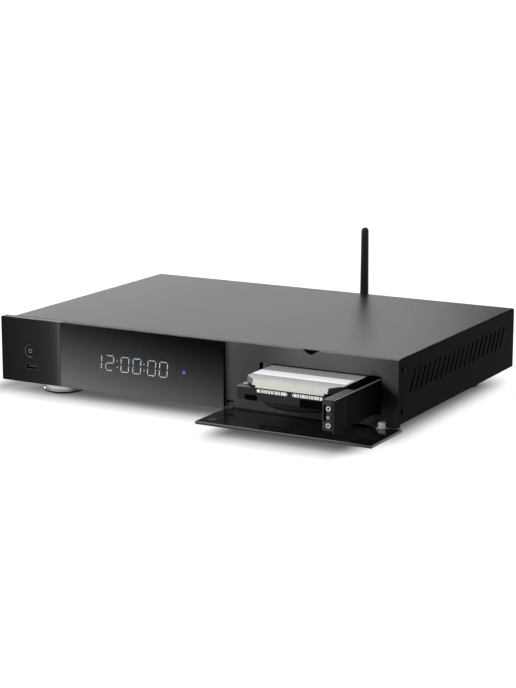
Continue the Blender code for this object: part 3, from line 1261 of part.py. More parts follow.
def make_lan_port(looks):
    """Network jack with its plug opening and the clip's notch above it."""
    across, up = rear_openings()[1]
    back = REAR_FACE + PORT_PROUD
    port = box("lan_port", across, (back - LAN_DEPTH, back), up, looks)
    middle = (across[0] + across[1]) / 2
    inside = (back - LAN_OPENING_DEPTH, back + OVERRUN)
    top = up[0] + LAN_WALL + LAN_OPENING_HEIGHT
    carve(port, box("lan_opening", centred(middle, LAN_OPENING_WIDTH), inside, (up[0] + LAN_WALL, top)),
          box("lan_clip", centred(middle, LAN_CLIP_WIDTH), inside, grown((top, top), LAN_CLIP_HEIGHT)))
    return port


def make_rear_usb(looks):
    """Two type A sockets stacked in one frame."""
    across, up = rear_openings()[2]
    back = REAR_FACE + PORT_PROUD
    stack = box("rear_usb_ports", across, (back - USB_STACK_DEPTH, back), up, looks)
    middle = (across[0] + across[1]) / 2
    centre = (up[0] + up[1]) / 2
    for number, height in enumerate((centre - USB_STACK_PITCH / 2, centre + USB_STACK_PITCH / 2)):
        inner = back - USB_STACK_DEPTH + USB_BACK_WALL
        carve(stack, box(f"stack_cavity_{number}", centred(middle, USB_WIDTH - 2 * USB_SHELL),
                         (inner, back + OVERRUN), centred(height, USB_HEIGHT - 2 * USB_SHELL)))
        fuse(stack, box(f"stack_tongue_{number}", centred(middle, USB_TONGUE_WIDTH),
                        (inner - USB_BACK_WALL / 2, back - USB_TONGUE_INSET),
                        centred(height, USB_TONGUE)))
    return stack


def make_rca_jacks(looks):
    """Row of round jacks on one moulded body, each barrel bored for its plug's pin."""
    behind = REAR_INNER - FIT
    body = box("rca_jacks", (RCA_LEFT, RCA_LEFT + RCA_PITCH * RCA_COUNT), (behind - RCA_BODY_DEPTH, behind),
               (PORT_BOTTOM, PORT_BOTTOM + RCA_BODY_HEIGHT), looks)
    for number, (x, z) in enumerate(rca_middles()):
        centre = (x, REAR_INNER, z)
        back = PAN_SHEET + RCA_BARREL
        fuse(body, rod(f"rca_barrel_{number}", RCA_BARREL_RADIUS, "Y", centre,
                       (-RCA_BODY_DEPTH / 2, back), SMALL_STEPS))
        carve(body, rod(f"rca_bore_{number}", RCA_BORE_RADIUS, "Y", centre,
                        (0.0, back + OVERRUN), SMALL_STEPS // 2))
    return shade(body)


def make_ac_inlet(looks):
    """Two-pin inlet: flange outside the panel, deep recess, two round pins."""
    across = centred(INLET_X, INLET_WIDTH)
    up = centred(INLET_Z, INLET_HEIGHT)
    outer_face = REAR_FACE + FIT + INLET_FLANGE_DEPTH
    inlet = box("ac_inlet", grown(across, -FIT), (outer_face - INLET_DEPTH, outer_face),
                grown(up, -FIT), looks)
    rim = rounded(grown(across, INLET_FLANGE), grown(up, INLET_FLANGE), INLET_FLANGE, BEND_STEPS)
    fuse(inlet, prism("inlet_flange", rim, "Y", (REAR_FACE + FIT, outer_face)))
    wall = FIT + INLET_WALL
    recess = rounded(grown(across, -wall), grown(up, -wall), INLET_WALL, BEND_STEPS)
    carve(inlet, prism("inlet_recess", recess, "Y", (outer_face - INLET_RECESS, outer_face + OVERRUN)))
    for number, x in enumerate(centred(INLET_X, INLET_PIN_PITCH)):
        fuse(inlet, rod(f"inlet_pin_{number}", INLET_PIN_RADIUS, "Y", (x, outer_face, INLET_Z),
                        (-INLET_RECESS - OVERRUN, -INLET_RECESS / 4), SMALL_STEPS // 2))
    return inlet


def make_rocker_frame(looks):
    across = centred(ROCKER_X, ROCKER_WIDTH + 2 * ROCKER_FRAME_WALL)
    up = centred(INLET_Z, ROCKER_HEIGHT + 2 * ROCKER_FRAME_WALL)
    outer_face = REAR_FACE + FIT + ROCKER_FLANGE_DEPTH
    inner_face = outer_face - ROCKER_FRAME_DEPTH
    frame = box("rocker_frame", grown(across, -FIT), (inner_face, outer_face), grown(up, -FIT), looks)
    fuse(frame, box("rocker_flange", grown(across, ROCKER_FLANGE), (REAR_FACE + FIT, outer_face),
                    grown(up, ROCKER_FLANGE)))
    well = (inner_face + ROCKER_FLOOR, outer_face + OVERRUN)
    carve(frame, box("rocker_well", centred(ROCKER_X, ROCKER_WIDTH), well,
                     centred(INLET_Z, ROCKER_HEIGHT)))
    return frame


def make_power_rocker(looks):
    """Rocker with a shallow V of a face, drawn level and tipped to its off stop."""
    outer_face = REAR_FACE + FIT + ROCKER_FLANGE_DEPTH
    axis = Vector((ROCKER_X, outer_face - ROCKER_DEPTH / 2, INLET_Z))
    radius = ROCKER_HEIGHT / 2 - RUN
    tip = ROCKER_SWING / 2
    face = ROCKER_DEPTH / 2 + ROCKER_PROUD
    reach = radius * cos(tip)
    back = -ROCKER_DEPTH / 2
    outline = [(face - reach * tan(tip), 0.0), (face, -reach + ROCKER_PROUD), (0.0, -reach),
               (back, -reach / 2), (back, reach / 2), (0.0, reach), (face, reach - ROCKER_PROUD)]
    made = prism("power_rocker", outline, "X", centred(0.0, ROCKER_WIDTH - 2 * RUN), looks)
    made.location = axis
    made.rotation_euler = (tip, 0.0, 0.0)
    return made


# Antenna

def make_antenna_connector(looks):
    """Threaded bulkhead connector with its nut against the rear panel."""
    centre = (MAST_X, REAR_FACE, MAST_Z)
    start = -PAN_SHEET - CONNECTOR_INSIDE
    end = FIT + CONNECTOR_NUT + CONNECTOR_OUTSIDE
    profile = [(0.0, start), (CONNECTOR_RADIUS, start),
               (CONNECTOR_RADIUS, FIT), (CONNECTOR_NUT_RADIUS, FIT),
               (CONNECTOR_NUT_RADIUS, FIT + CONNECTOR_NUT), (CONNECTOR_RADIUS, FIT + CONNECTOR_NUT),
               (CONNECTOR_RADIUS, end), (0.0, end)]
    return shade(turned("antenna_connector", profile, "Y", centre, SMALL_STEPS, looks))


def make_antenna_knuckle(looks, pivot):
    """Collar on the connector with a fork and the cross pin that the mast folds on."""
    start = REAR_FACE + 2 * FIT + CONNECTOR_NUT + CONNECTOR_OUTSIDE
    stop = MAST_Y - CHEEK_RADIUS - RUN
    origin = (MAST_X, MAST_Y, MAST_Z)
    knuckle = rod("antenna_knuckle", COLLAR_RADIUS, "Y", (MAST_X, 0.0, MAST_Z), (start, stop),
                  SMALL_STEPS, looks, origin)
    for side, sign in (("left", -1), ("right", 1)):
        inner = MAST_X + sign * CHEEK_GAP / 2
        outer = MAST_X + sign * CHEEK_WIDTH / 2
        cheek = [(stop - OVERRUN / 4, MAST_Z - CHEEK_RADIUS)]
        cheek += arc((MAST_Y, MAST_Z), CHEEK_RADIUS, -pi / 2, pi / 2, SMALL_STEPS // 2)
        cheek += [(stop - OVERRUN / 4, MAST_Z + CHEEK_RADIUS)]
        fuse(knuckle, prism(f"cheek_{side}", cheek, "X", sorted((inner, outer))))
    pin_ends = centred(0.0, CHEEK_WIDTH - CHEEK_GAP / 4)
    fuse(knuckle, rod("antenna_pin", ANTENNA_PIN_RADIUS, "X", origin, pin_ends, SMALL_STEPS // 2))
    hang(shade(knuckle), pivot)


def make_antenna_mast(looks, pivot):
    """Round tapering mast with a moulded groove near its tip and a flat tongue below."""
    origin = (MAST_X, MAST_Y, MAST_Z)
    length = MAST_TOP - MAST_Z
    groove = length - MAST_GROOVE_DROP
    slope = (MAST_RADIUS - MAST_TIP_RADIUS) / (length - MAST_WAIST)
    groove_radius = MAST_RADIUS - slope * (groove - MAST_WAIST)
    profile = [(0.0, MAST_WAIST), (MAST_RADIUS - MAST_GROOVE, MAST_WAIST),
               (MAST_RADIUS, MAST_WAIST + MAST_GROOVE), (groove_radius, groove - MAST_GROOVE),
               (groove_radius - MAST_GROOVE, groove), (groove_radius, groove + MAST_GROOVE)]
    profile += arc((0.0, length - MAST_TIP_RADIUS), MAST_TIP_RADIUS, 0.0, pi / 2, BEND_STEPS)[:-1]
    profile.append((0.0, length))
    mast = turned("antenna_mast", profile, "Z", origin, SMALL_STEPS, looks, origin)
    tongue = arc((MAST_Y, MAST_Z), TONGUE_RADIUS, -pi, 0.0, SMALL_STEPS // 2)
    top = MAST_Z + MAST_WAIST + MAST_GROOVE
    tongue += [(MAST_Y + TONGUE_RADIUS, top), (MAST_Y - TONGUE_RADIUS, top)]
    fuse(mast, prism("mast_tongue", tongue, "X", centred(MAST_X, CHEEK_GAP - 2 * FIT)))
    carve(mast, rod("mast_bore", ANTENNA_PIN_RADIUS + FIT, "X", origin, centred(0.0, CHEEK_WIDTH),
                    SMALL_STEPS))
    hang(shade(mast), pivot)


# Feet

def make_feet(cup_looks, pad_looks):
    """Four turned cups under the pan, each with a rubber pad let into its underside."""
    places = [("front_left", CASE_LEFT + FOOT_LEFT_INSET, PANEL_BACK + FOOT_FRONT_INSET),
              ("front_right", CASE_RIGHT - FOOT_LEFT_INSET, PANEL_BACK + FOOT_FRONT_INSET),
              ("back_left", CASE_LEFT + FOOT_LEFT_INSET, CASE_BACK - FOOT_BACK_INSET),
              ("back_right", CASE_RIGHT - FOOT_LEFT_INSET, CASE_BACK - FOOT_BACK_INSET)]
    for corner, x, y in places:
        low = PAD_PROUD
        pocket = low + PAD_DEPTH
        neck = FOOT_RADIUS - FOOT_WAIST
        profile = [(0.0, pocket + FIT), (PAD_RADIUS + FIT, pocket + FIT), (PAD_RADIUS + FIT, low),
                   (FOOT_RADIUS - FOOT_EDGE, low), (FOOT_RADIUS, low + FOOT_EDGE),
                   (FOOT_RADIUS, FOOT_TOP - 3 * FOOT_WAIST), (neck, FOOT_TOP - 2 * FOOT_WAIST),
                   (neck, FOOT_TOP), (0.0, FOOT_TOP)]
        centre = (x, y, 0.0)
        shade(turned(f"foot_{corner}", profile, "Z", centre, ROUND_STEPS, cup_looks))
        shade(rod(f"pad_{corner}", PAD_RADIUS, "Z", centre, (0.0, pocket), ROUND_STEPS // 2, pad_looks))


def build():
    clear_scene()
    black_metal = finish("black_sheet", (0.030, 0.028, 0.026), 0.45, 0.4)
    steel = finish("plated_sheet", (0.55, 0.56, 0.57), 0.35, 0.9)
    moulding = finish("matte_moulding", (0.028, 0.028, 0.030), 0.45)
    fascia = finish("charcoal_moulding", (0.075, 0.075, 0.078), 0.5)
    smoked = finish("smoked_acrylic", (0.04, 0.04, 0.045), 0.05, 0.0, 0.6)
    gloss = finish("gloss_black", (0.010, 0.011, 0.012), 0.08)
    bright = finish("bright_metal", (0.72, 0.72, 0.73), 0.22, 1.0)
    lid_metal = finish("lid_metal", (0.66, 0.66, 0.67), 0.32, 0.9)
    cast = finish("cast_black", (0.035, 0.035, 0.038), 0.5, 0.3)
    board = finish("board_green", (0.03, 0.16, 0.07), 0.55)
    rubber = finish("black_rubber", (0.02, 0.02, 0.02), 0.8)
    glass = finish("display_glass", (0.02, 0.04, 0.06), 0.08)
    fins = finish("fin_aluminium", (0.5, 0.5, 0.52), 0.4, 0.9)
    socket = finish("socket_black", (0.02, 0.02, 0.02), 0.4)

    make_base_pan(steel)
    make_front_plate(steel)
    make_top_cover(black_metal)
    make_rear_panel(black_metal)
    make_end_block(moulding)
    make_power_ring(bright)
    make_power_button(moulding)
    make_front_board(board)
    make_tact_switch(socket)
    make_front_usb(bright)
    make_display_window(smoked)
    make_display_frame(moulding)
    make_display_module(glass)
    make_bay_fascia(fascia)
    make_flap_catch(socket)
    make_hinge_pins(bright)
    make_drive_cage(steel)
    make_guides(socket)
    make_earth_spring(bright)
    make_backplane(board)
    make_sata_socket(socket)
    make_main_board(board)
    make_heat_sink(fins)
    make_power_board(board)
    make_hdmi_port(bright)
    make_lan_port(bright)
    make_rear_usb(bright)
    make_rca_jacks(socket)
    make_ac_inlet(socket)
    make_rocker_frame(socket)
    make_power_rocker(socket)
    make_antenna_connector(bright)
    make_feet(bright, rubber)

    flap_pivot = pivot_empty("flap_axis", (FLAP_MIDDLE, PIVOT_Y, PIVOT_Z))
    make_flap(gloss, flap_pivot)
    make_flap_magnet(bright, flap_pivot)
    make_hinge_arms(bright, flap_pivot)

    carrier_axis = pivot_empty("carrier_axis", (RAIL_RIGHT, CARRIER_FRONT, RAIL_BOTTOM))
    make_carrier_rail(moulding, carrier_axis)
    make_latch_housing(moulding, carrier_axis)
    make_housing_screws(bright, carrier_axis)
    make_latch_button(bright, carrier_axis)
    make_carrier_tray(steel, carrier_axis)
    make_drive_base(cast, carrier_axis)
    make_drive_lid(lid_metal, carrier_axis)
    make_drive_board(board, carrier_axis)
    make_drive_plug(socket, carrier_axis)

    antenna_axis = pivot_empty("antenna_axis", (MAST_X, MAST_Y, MAST_Z))
    make_antenna_knuckle(moulding, antenna_axis)
    make_antenna_mast(rubber, antenna_axis)


build()
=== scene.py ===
from math import atan2, pi, radians, sin

import bmesh
import bpy
from mathutils import Matrix, Vector


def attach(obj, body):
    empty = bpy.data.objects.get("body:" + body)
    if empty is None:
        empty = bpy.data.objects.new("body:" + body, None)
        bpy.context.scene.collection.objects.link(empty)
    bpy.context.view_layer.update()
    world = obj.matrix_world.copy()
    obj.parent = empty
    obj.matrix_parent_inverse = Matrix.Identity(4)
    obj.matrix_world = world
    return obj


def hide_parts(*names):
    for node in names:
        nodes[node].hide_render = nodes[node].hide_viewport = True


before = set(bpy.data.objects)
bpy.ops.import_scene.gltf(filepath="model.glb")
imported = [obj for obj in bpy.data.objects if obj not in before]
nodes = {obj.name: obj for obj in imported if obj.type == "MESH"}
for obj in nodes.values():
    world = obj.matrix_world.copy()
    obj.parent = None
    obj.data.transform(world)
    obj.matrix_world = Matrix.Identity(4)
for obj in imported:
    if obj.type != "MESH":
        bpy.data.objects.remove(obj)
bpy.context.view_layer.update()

# The camera stands where the photograph was taken from: to the right of the
# middle, a little above the cover, far off with a long lens.
CAMERA_PLACE = (0.8908, -1.5829, 0.4386)
CAMERA_AIM = (-0.0033, 0.0332, 0.0433)
FILM_HEIGHT = 36.0
FILM_WIDTH = 27.0
LENS_LENGTH = 99.1
VIEW_DEPTH = 60.0


def aimed(place, aim):
    """The turn of a camera or a lamp that looks from its place at its aim."""
    return (Vector(aim) - Vector(place)).to_track_quat("-Z", "Y").to_euler()


lens = bpy.data.cameras.new("photo_camera")
lens.sensor_fit = "VERTICAL"
lens.sensor_height = FILM_HEIGHT
lens.sensor_width = FILM_WIDTH
lens.lens = LENS_LENGTH
lens.clip_end = VIEW_DEPTH
camera = bpy.data.objects.new("photo_camera", lens)
camera.location = CAMERA_PLACE
camera.rotation_euler = aimed(CAMERA_PLACE, CAMERA_AIM)
bpy.context.scene.collection.objects.link(camera)
bpy.context.scene.camera = camera
bpy.context.scene.view_settings.view_transform = "Standard"

# The studio is a wide white table that takes the player's soft shadow, with a white surround, a soft box
# high up at the left and a long one behind. For the camera the table also glows, and that glow is painted
# down under and round the player: a painted contact shadow over the real one.
WHITE = (1.0, 1.0, 1.0, 1.0)
ORIGIN = (0.0, 0.0, 0.0)
TABLE_HALF = 30.0
TABLE_WHITE = (0.86, 0.86, 0.86, 1.0)
TABLE_SEEN = (0.20, 0.20, 0.20, 1.0)
TABLE_LIFT = 0.96
PAINTED_SHADOW_FADE = (0.036, 0.068, 1.0)
PAINTED_SHADOW_BOXES = (((-0.0180, 0.0335), (0.2040, 0.1065)), ((0.1180, -0.0950), (0.0540, 0.0340)))
PAINTED_SHADOW_CORE = 0.10
SURROUND_LIGHT = 0.40
SOFT_BOXES = {"soft_box_left": ((-1.15, -1.30, 1.50), (1.5, 1.5), 40.0),
              "soft_box_behind": ((-1.60, 1.87, 1.00), (2.1, 0.8), 70.0)}
LAMP_AIM = (0.0, 0.0, 0.04)


def put(socket, value):
    """Set a socket to a value, or link it to another node's output."""
    if isinstance(value, bpy.types.NodeSocket):
        socket.id_data.links.new(value, socket)
    else:
        socket.default_value = value


def wired(tree, kind, inputs, output=0, **settings):
    """Add a node with its settings and inputs, and give one of its outputs."""
    node = tree.nodes.new("ShaderNode" + kind)
    for name, value in settings.items():
        setattr(node, name, value)
    for name, value in inputs.items():
        put(node.inputs[name], value)
    return node.outputs[output] if len(node.outputs) else None


def seen_directly(tree):
    """A factor that is 1 for camera, glossy and transmission rays, and 0 for the light on things."""
    path = tree.nodes.new("ShaderNodeLightPath").outputs
    either = wired(tree, "Math", {0: path["Is Camera Ray"], 1: path["Is Glossy Ray"]}, operation="MAXIMUM")
    return wired(tree, "Math", {0: either, 1: path["Is Transmission Ray"]}, operation="MAXIMUM")


def beside(tree, boxes, fade, least, most):
    """A value that is least under some boxes on the table and grows to the most beside them."""
    nearest = None
    for middle, half in boxes:
        distance = wired(tree, "TexCoord", {}, "Object")
        for operation, by in (("SUBTRACT", (*middle, 0.0)), ("ABSOLUTE", None), ("SUBTRACT", (*half, 0.0)),
                              ("MAXIMUM", ORIGIN), ("DIVIDE", fade), ("LENGTH", None)):
            distance = wired(tree, "VectorMath", {0: distance, 1: by} if by else {0: distance},
                             "Value" if operation == "LENGTH" else "Vector", operation=operation)
        nearest = distance if nearest is None else wired(tree, "Math", {0: nearest, 1: distance},
                                                         operation="MINIMUM")
    return wired(tree, "MapRange", {"Value": nearest, "To Min": least, "To Max": most}, "Result",
                 interpolation_type="SMOOTHSTEP")


surround = bpy.data.worlds.new("white_surround")
surround.use_nodes = True
sky = surround.node_tree
sky.nodes.clear()
lighting, backdrop = (wired(sky, "Background", {"Color": WHITE, "Strength": strength})
                      for strength in (SURROUND_LIGHT, 1.0))
sky_mix = wired(sky, "MixShader", {0: seen_directly(sky), 1: lighting, 2: backdrop})
wired(sky, "OutputWorld", {"Surface": sky_mix})
bpy.context.scene.world = surround

bpy.ops.object.select_all(action="DESELECT")
bpy.ops.mesh.primitive_plane_add(size=2 * TABLE_HALF, location=ORIGIN)
table = bpy.context.object
table.name = "white_table"
table_white = bpy.data.materials.new("white_table")
table_white.use_nodes = True
table_tree = table_white.node_tree
table_tree.nodes.clear()
table_paper = wired(table_tree, "BsdfDiffuse", {"Color": TABLE_WHITE})
table_shade = wired(table_tree, "BsdfDiffuse", {"Color": TABLE_SEEN})
# Painted contact shadow: the table's glow is lowest under the boxes and grows beside them.
table_glow_with_painted_shadow = wired(table_tree, "Emission",
                   {"Strength": beside(table_tree, PAINTED_SHADOW_BOXES, PAINTED_SHADOW_FADE, PAINTED_SHADOW_CORE, TABLE_LIFT)})
table_both = wired(table_tree, "AddShader", {0: table_shade, 1: table_glow_with_painted_shadow})
table_mix = wired(table_tree, "MixShader", {0: seen_directly(table_tree), 1: table_paper, 2: table_both})
wired(table_tree, "OutputMaterial", {"Surface": table_mix})
table.data.materials.append(table_white)

for name, (place, size, watts) in SOFT_BOXES.items():
    lamp = bpy.data.lights.new(name, "AREA")
    lamp.shape = "RECTANGLE"
    lamp.size, lamp.size_y = size
    lamp.energy = watts
    held = bpy.data.objects.new(name, lamp)
    held.location = place
    held.rotation_euler = aimed(place, LAMP_AIM)
    bpy.context.scene.collection.objects.link(held)

# The case is a zinc-plated pan with a plated front plate, and over it one bent steel cover and a rear panel
# in fine-grained satin black paint. The cover's top is painted lighter towards its left end, a painted
# sheen.
COVER_BLACK = (0.0038, 0.0031, 0.0020)
REAR_BLACK = (0.016, 0.016, 0.0165)
COVER_ROUGH = 0.38
COVER_SHEEN = 0.0060
COVER_TOP_PAINTED_SHEEN = ((-0.205, 0.050), (-0.150, 0.036), (-0.100, 0.022), (-0.050, 0.014), (0.0, 0.010),
             (0.050, 0.006), (0.100, 0.0026))
COVER_TURN = (0.0750, 0.0758)
ALONG_X, ALONG_Y, ALONG_Z = (1.0, 0.0, 0.0), (0.0, 1.0, 0.0), (0.0, 0.0, 1.0)
PAINT_GRAIN = 0.0006
PAINT_DEPTH = 0.000008
PLATED_GREY = (0.42, 0.43, 0.44)
PLATED_SPANGLE = 0.006
NOISE_LOW = 0.3
NOISE_HIGH = 0.7
GLOSS_VARY = 0.12


def grain(tree, size, stretch=(1.0, 1.0, 1.0), detail=3.0):
    """Noise of that grain size on the object's own coordinates; stretch makes it run in streaks."""
    place = wired(tree, "Mapping", {"Vector": wired(tree, "TexCoord", {}, "Object"), "Scale": stretch})
    return wired(tree, "TexNoise", {"Vector": place, "Scale": 1.0 / size, "Detail": detail}, "Fac")


def spread(tree, source, low, high, start=NOISE_LOW, end=NOISE_HIGH):
    """Turn one range of a value into another."""
    return wired(tree, "MapRange", {"Value": source, "From Min": start, "From Max": end,
                                    "To Min": low, "To Max": high}, "Result")


def run_of(tree, run):
    """How far along a direction a point of the object lies."""
    return wired(tree, "VectorMath", {0: wired(tree, "TexCoord", {}, "Object"), 1: run}, "Value",
                 operation="DOT_PRODUCT")


def past(tree, run, start, end):
    """A factor that grows from 0 to 1 between two places along a direction."""
    return spread(tree, run_of(tree, run), 0.0, 1.0, start, end)


def toned(colour):
    """A colour or a grey as a socket takes it; a value from the tree stays as it is."""
    if isinstance(colour, float):
        colour = (colour, colour, colour)
    return (*colour, 1.0) if isinstance(colour, tuple) else colour


def ramp(tree, share, *stops):
    """A colour that goes from stop to stop with a share, each stop a share and a colour or a grey."""
    node = tree.nodes.new("ShaderNodeValToRGB")
    elements = node.color_ramp.elements
    for number, (spot, colour) in enumerate(stops):
        inner = 0 < number < len(stops) - 1
        element = elements.new(spot) if inner else elements[-1 if number else 0]
        element.position = spot
        element.color = toned(colour)
    put(node.inputs["Fac"], share)
    return node.outputs["Color"]


def graded(tree, run, *stops):
    """A colour that changes along a direction, each stop a place and a colour or a grey."""
    first, last = stops[0][0], stops[-1][0]
    shares = [((place - first) / (last - first), colour) for place, colour in stops]
    return ramp(tree, past(tree, run, first, last), *shares)


def mixed(tree, factor, first, second):
    """One colour where the factor is 0 and another where it is 1."""
    return wired(tree, "Mix", {"Factor": factor, 6: toned(first), 7: toned(second)}, 2, data_type="RGBA")


def shader_of(material):
    """The shader node of a finish."""
    return material.node_tree.nodes["Principled BSDF"]


def colour_by(material, colour):
    """Drive a finish's colour by a value from its tree."""
    put(shader_of(material).inputs["Base Color"], colour)


def scaled(colour, share):
    """A colour or a grey made darker or lighter."""
    return colour * share if isinstance(colour, float) else tuple(channel * share for channel in colour)


def finish_of(name, colour, rough, metal=0.0, size=0.001, depth=0.000002,
              stretch=(1.0, 1.0, 1.0), vary=0.12, patch=0.03, specular=0.5):
    """A finish with a fine grain in relief and gloss, and slow patches in its colour."""
    made = bpy.data.materials.new(name)
    made.use_nodes = True
    tree = made.node_tree
    fine = grain(tree, size, stretch)
    slow = grain(tree, patch, stretch, detail=2.0)
    for socket, value in (
            ("Base Color", ramp(tree, slow, (NOISE_LOW, scaled(colour, 1 - vary)),
                                (NOISE_HIGH, scaled(colour, 1 + vary)))),
            ("Roughness", spread(tree, fine, rough * (1 - GLOSS_VARY), min(1.0, rough * (1 + GLOSS_VARY)))),
            ("Metallic", metal),
            ("Specular IOR Level", specular),
            ("Normal", wired(tree, "Bump", {"Strength": 1.0, "Distance": depth, "Height": fine}))):
        put(shader_of(made).inputs[socket], value)
    return made


def dress(material, slot, *names):
    """Give CAD nodes a finish in place of their plain one."""
    for name in names:
        nodes[name].data.materials.clear()
        nodes[name].data.materials.append(material)


cover_paint = finish_of("satin_black_paint", COVER_BLACK, COVER_ROUGH, size=PAINT_GRAIN,
                        depth=PAINT_DEPTH, vary=0.08, patch=0.05, specular=COVER_SHEEN)
cover_tree = cover_paint.node_tree
# The cover's top is painted lighter towards its left end: a painted sheen. Its sides keep the plain black.
colour_by(cover_paint, mixed(cover_tree, past(cover_tree, ALONG_Z, *COVER_TURN), COVER_BLACK,
                             graded(cover_tree, ALONG_X, *COVER_TOP_PAINTED_SHEEN)))
dress(cover_paint, "black_sheet", "top_cover")
dress(finish_of("rear_panel_paint", REAR_BLACK, COVER_ROUGH, size=PAINT_GRAIN, depth=0.000016,
                specular=0.12), "black_sheet", "rear_panel")
dress(finish_of("zinc_plated_sheet", PLATED_GREY, 0.40, metal=0.85, size=0.0015, depth=0.000004,
                vary=0.16, patch=PLATED_SPANGLE), "plated_sheet", "base_pan", "front_plate", "earth_spring")

# Black cross-head screws hold the cover's sides and the rear panel. Each has a
# low domed head turned from steel, with a pressed cross in it.
HEAD_PROFILE = ((0.00285, 0.0), (0.0029, 0.0002), (0.0028, 0.0006), (0.0022, 0.00095), (0.0012, 0.0011))
CROSS_LENGTH = 0.0032
CROSS_WIDTH = 0.00062
CROSS_DEPTH = 0.0007
SCREW_BLACK = (0.0030, 0.0030, 0.0032)
SIDE_FACES = {"left": ("-X", -0.205), "right": ("+X", 0.213)}
SIDE_SCREWS = ((-0.0915, 0.0271), (-0.0915, 0.0656))
REAR_FACE = 0.1715
REAR_SCREWS = ((-0.1985, 0.070), (-0.020, 0.070), (0.080, 0.070), (0.2065, 0.070),
               (-0.1985, 0.023), (0.2065, 0.023))
TURNS = {"+X": (0.0, pi / 2, 0.0), "-X": (0.0, -pi / 2, 0.0), "+Y": (-pi / 2, 0.0, 0.0),
         "-Y": (pi / 2, 0.0, 0.0), "+Z": (0.0, 0.0, 0.0)}
SMOOTH_UNDER = radians(35.0)
SHARP_OVER = radians(30.0)
STRAIGHT = 0.9
SAME_POINT = 0.000002


def settle():
    """Object mode with nothing selected."""
    if bpy.context.object and bpy.context.object.mode != "OBJECT":
        bpy.ops.object.mode_set(mode="OBJECT")
    bpy.ops.object.select_all(action="DESELECT")


def take(piece):
    """Make one piece the selected and active one."""
    settle()
    piece.select_set(True)
    bpy.context.view_layer.objects.active = piece


def fresh(name):
    """Name the piece in hand and put its place, turn and size into its mesh."""
    piece = bpy.context.object
    piece.name = name
    bpy.ops.object.transform_apply(location=True, rotation=True, scale=True)
    return piece


def stand(piece, facing, place):
    """Turn a piece made standing on the origin to face its way, and move it to its place."""
    take(piece)
    piece.rotation_euler = TURNS[facing]
    piece.location = place
    return fresh(piece.name)


def turned(name, profile, facing, place, sides=40):
    """A turned piece: a round edge extruded and scaled from ring to ring up its axis.

    A profile that ends where it began makes a ring; any other is closed by its end faces."""
    settle()
    bpy.ops.mesh.primitive_circle_add(vertices=sides, radius=profile[0][0],
                                      location=(0.0, 0.0, profile[0][1]))
    piece = fresh(name)
    bpy.ops.object.mode_set(mode="EDIT")
    bpy.ops.mesh.select_mode(type="EDGE")
    bpy.ops.mesh.select_all(action="SELECT")
    for (radius, height), (next_radius, next_height) in zip(profile, profile[1:]):
        bpy.ops.mesh.extrude_edges_move(TRANSFORM_OT_translate={"value": (0.0, 0.0, next_height - height)})
        share = next_radius / radius
        bpy.ops.transform.resize(value=(share, share, 1.0), center_override=(0.0, 0.0, next_height))
    bpy.ops.mesh.select_all(action="SELECT")
    bpy.ops.mesh.remove_doubles(threshold=SAME_POINT)
    if profile[0] != profile[-1]:
        bpy.ops.mesh.fill_holes(sides=0)
    bpy.ops.mesh.select_all(action="SELECT")
    bpy.ops.mesh.normals_make_consistent(inside=False)
    bpy.ops.object.mode_set(mode="OBJECT")
    bpy.ops.object.shade_smooth_by_angle(angle=SMOOTH_UNDER)
    return stand(piece, facing, place)


def square(name):
    """A flat square of unit size on the origin, to be moved into its place."""
    settle()
    bpy.ops.mesh.primitive_plane_add(size=1.0, location=ORIGIN)
    return fresh(name)


def block(name, middle, size):
    """A block of that size round a middle."""
    settle()
    bpy.ops.mesh.primitive_cube_add(size=1.0, location=middle)
    bpy.context.object.scale = size
    return fresh(name)


def slab(name, low, high):
    """A block between two corners."""
    return block(name, (Vector(low) + Vector(high)) / 2, Vector(high) - Vector(low))


def pick(piece, kind, wanted):
    """Edit mode with those faces or edges selected whose middle and direction are wanted."""
    take(piece)
    bpy.ops.object.mode_set(mode="EDIT")
    bpy.ops.mesh.select_mode(type=kind)
    bpy.ops.mesh.select_all(action="DESELECT")
    mesh = bmesh.from_edit_mesh(piece.data)
    for part in mesh.faces if kind == "FACE" else mesh.edges:
        middle = sum((corner.co for corner in part.verts), Vector()) / len(part.verts)
        way = part.normal if kind == "FACE" else (part.verts[1].co - part.verts[0].co).normalized()
        part.select_set(bool(wanted(middle, way)))
    bmesh.update_edit_mesh(piece.data)


def clipped(piece, run, width, segments, wanted=lambda middle: True):
    """Clip or round the wanted ones of a block's edges that run one way."""
    pick(piece, "EDGE", lambda middle, way: abs(way.dot(Vector(run))) > STRAIGHT and wanted(middle))
    bpy.ops.mesh.bevel(offset=width, segments=segments, affect="EDGES")
    bpy.ops.object.mode_set(mode="OBJECT")
    return piece


def modify(piece, kind, **settings):
    """Run one modifier on a piece and keep what it makes."""
    take(piece)
    step = piece.modifiers.new(kind.lower(), kind)
    for name, value in settings.items():
        setattr(step, name, value)
    bpy.ops.object.modifier_apply(modifier=step.name)


def soften(piece, width, segments=2):
    """Round the sharp edges, then shade the rest smooth."""
    modify(piece, "BEVEL", width=width, segments=segments, limit_method="ANGLE", angle_limit=SHARP_OVER)
    bpy.ops.object.shade_smooth_by_angle(angle=SMOOTH_UNDER)
    return piece


def cut(piece, *tools):
    """Cut one piece by others, which are used up."""
    for tool in tools:
        modify(piece, "BOOLEAN", operation="DIFFERENCE", solver="EXACT", object=tool)
        bpy.data.objects.remove(tool, do_unlink=True)
    bpy.ops.object.shade_smooth_by_angle(angle=SMOOTH_UNDER)
    return piece


def joined(name, *pieces):
    """One object out of several."""
    settle()
    for piece in pieces:
        piece.select_set(True)
    bpy.context.view_layer.objects.active = pieces[0]
    bpy.ops.object.join()
    pieces[0].name = name
    return pieces[0]


def fit(piece, material, slot, body, *replaced):
    """Give a new piece its finish and its body, and say which CAD nodes it stands for."""
    settle()
    piece.data.materials.clear()
    piece.data.materials.append(material)
    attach(piece, body)
    if replaced:
        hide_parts(*replaced)


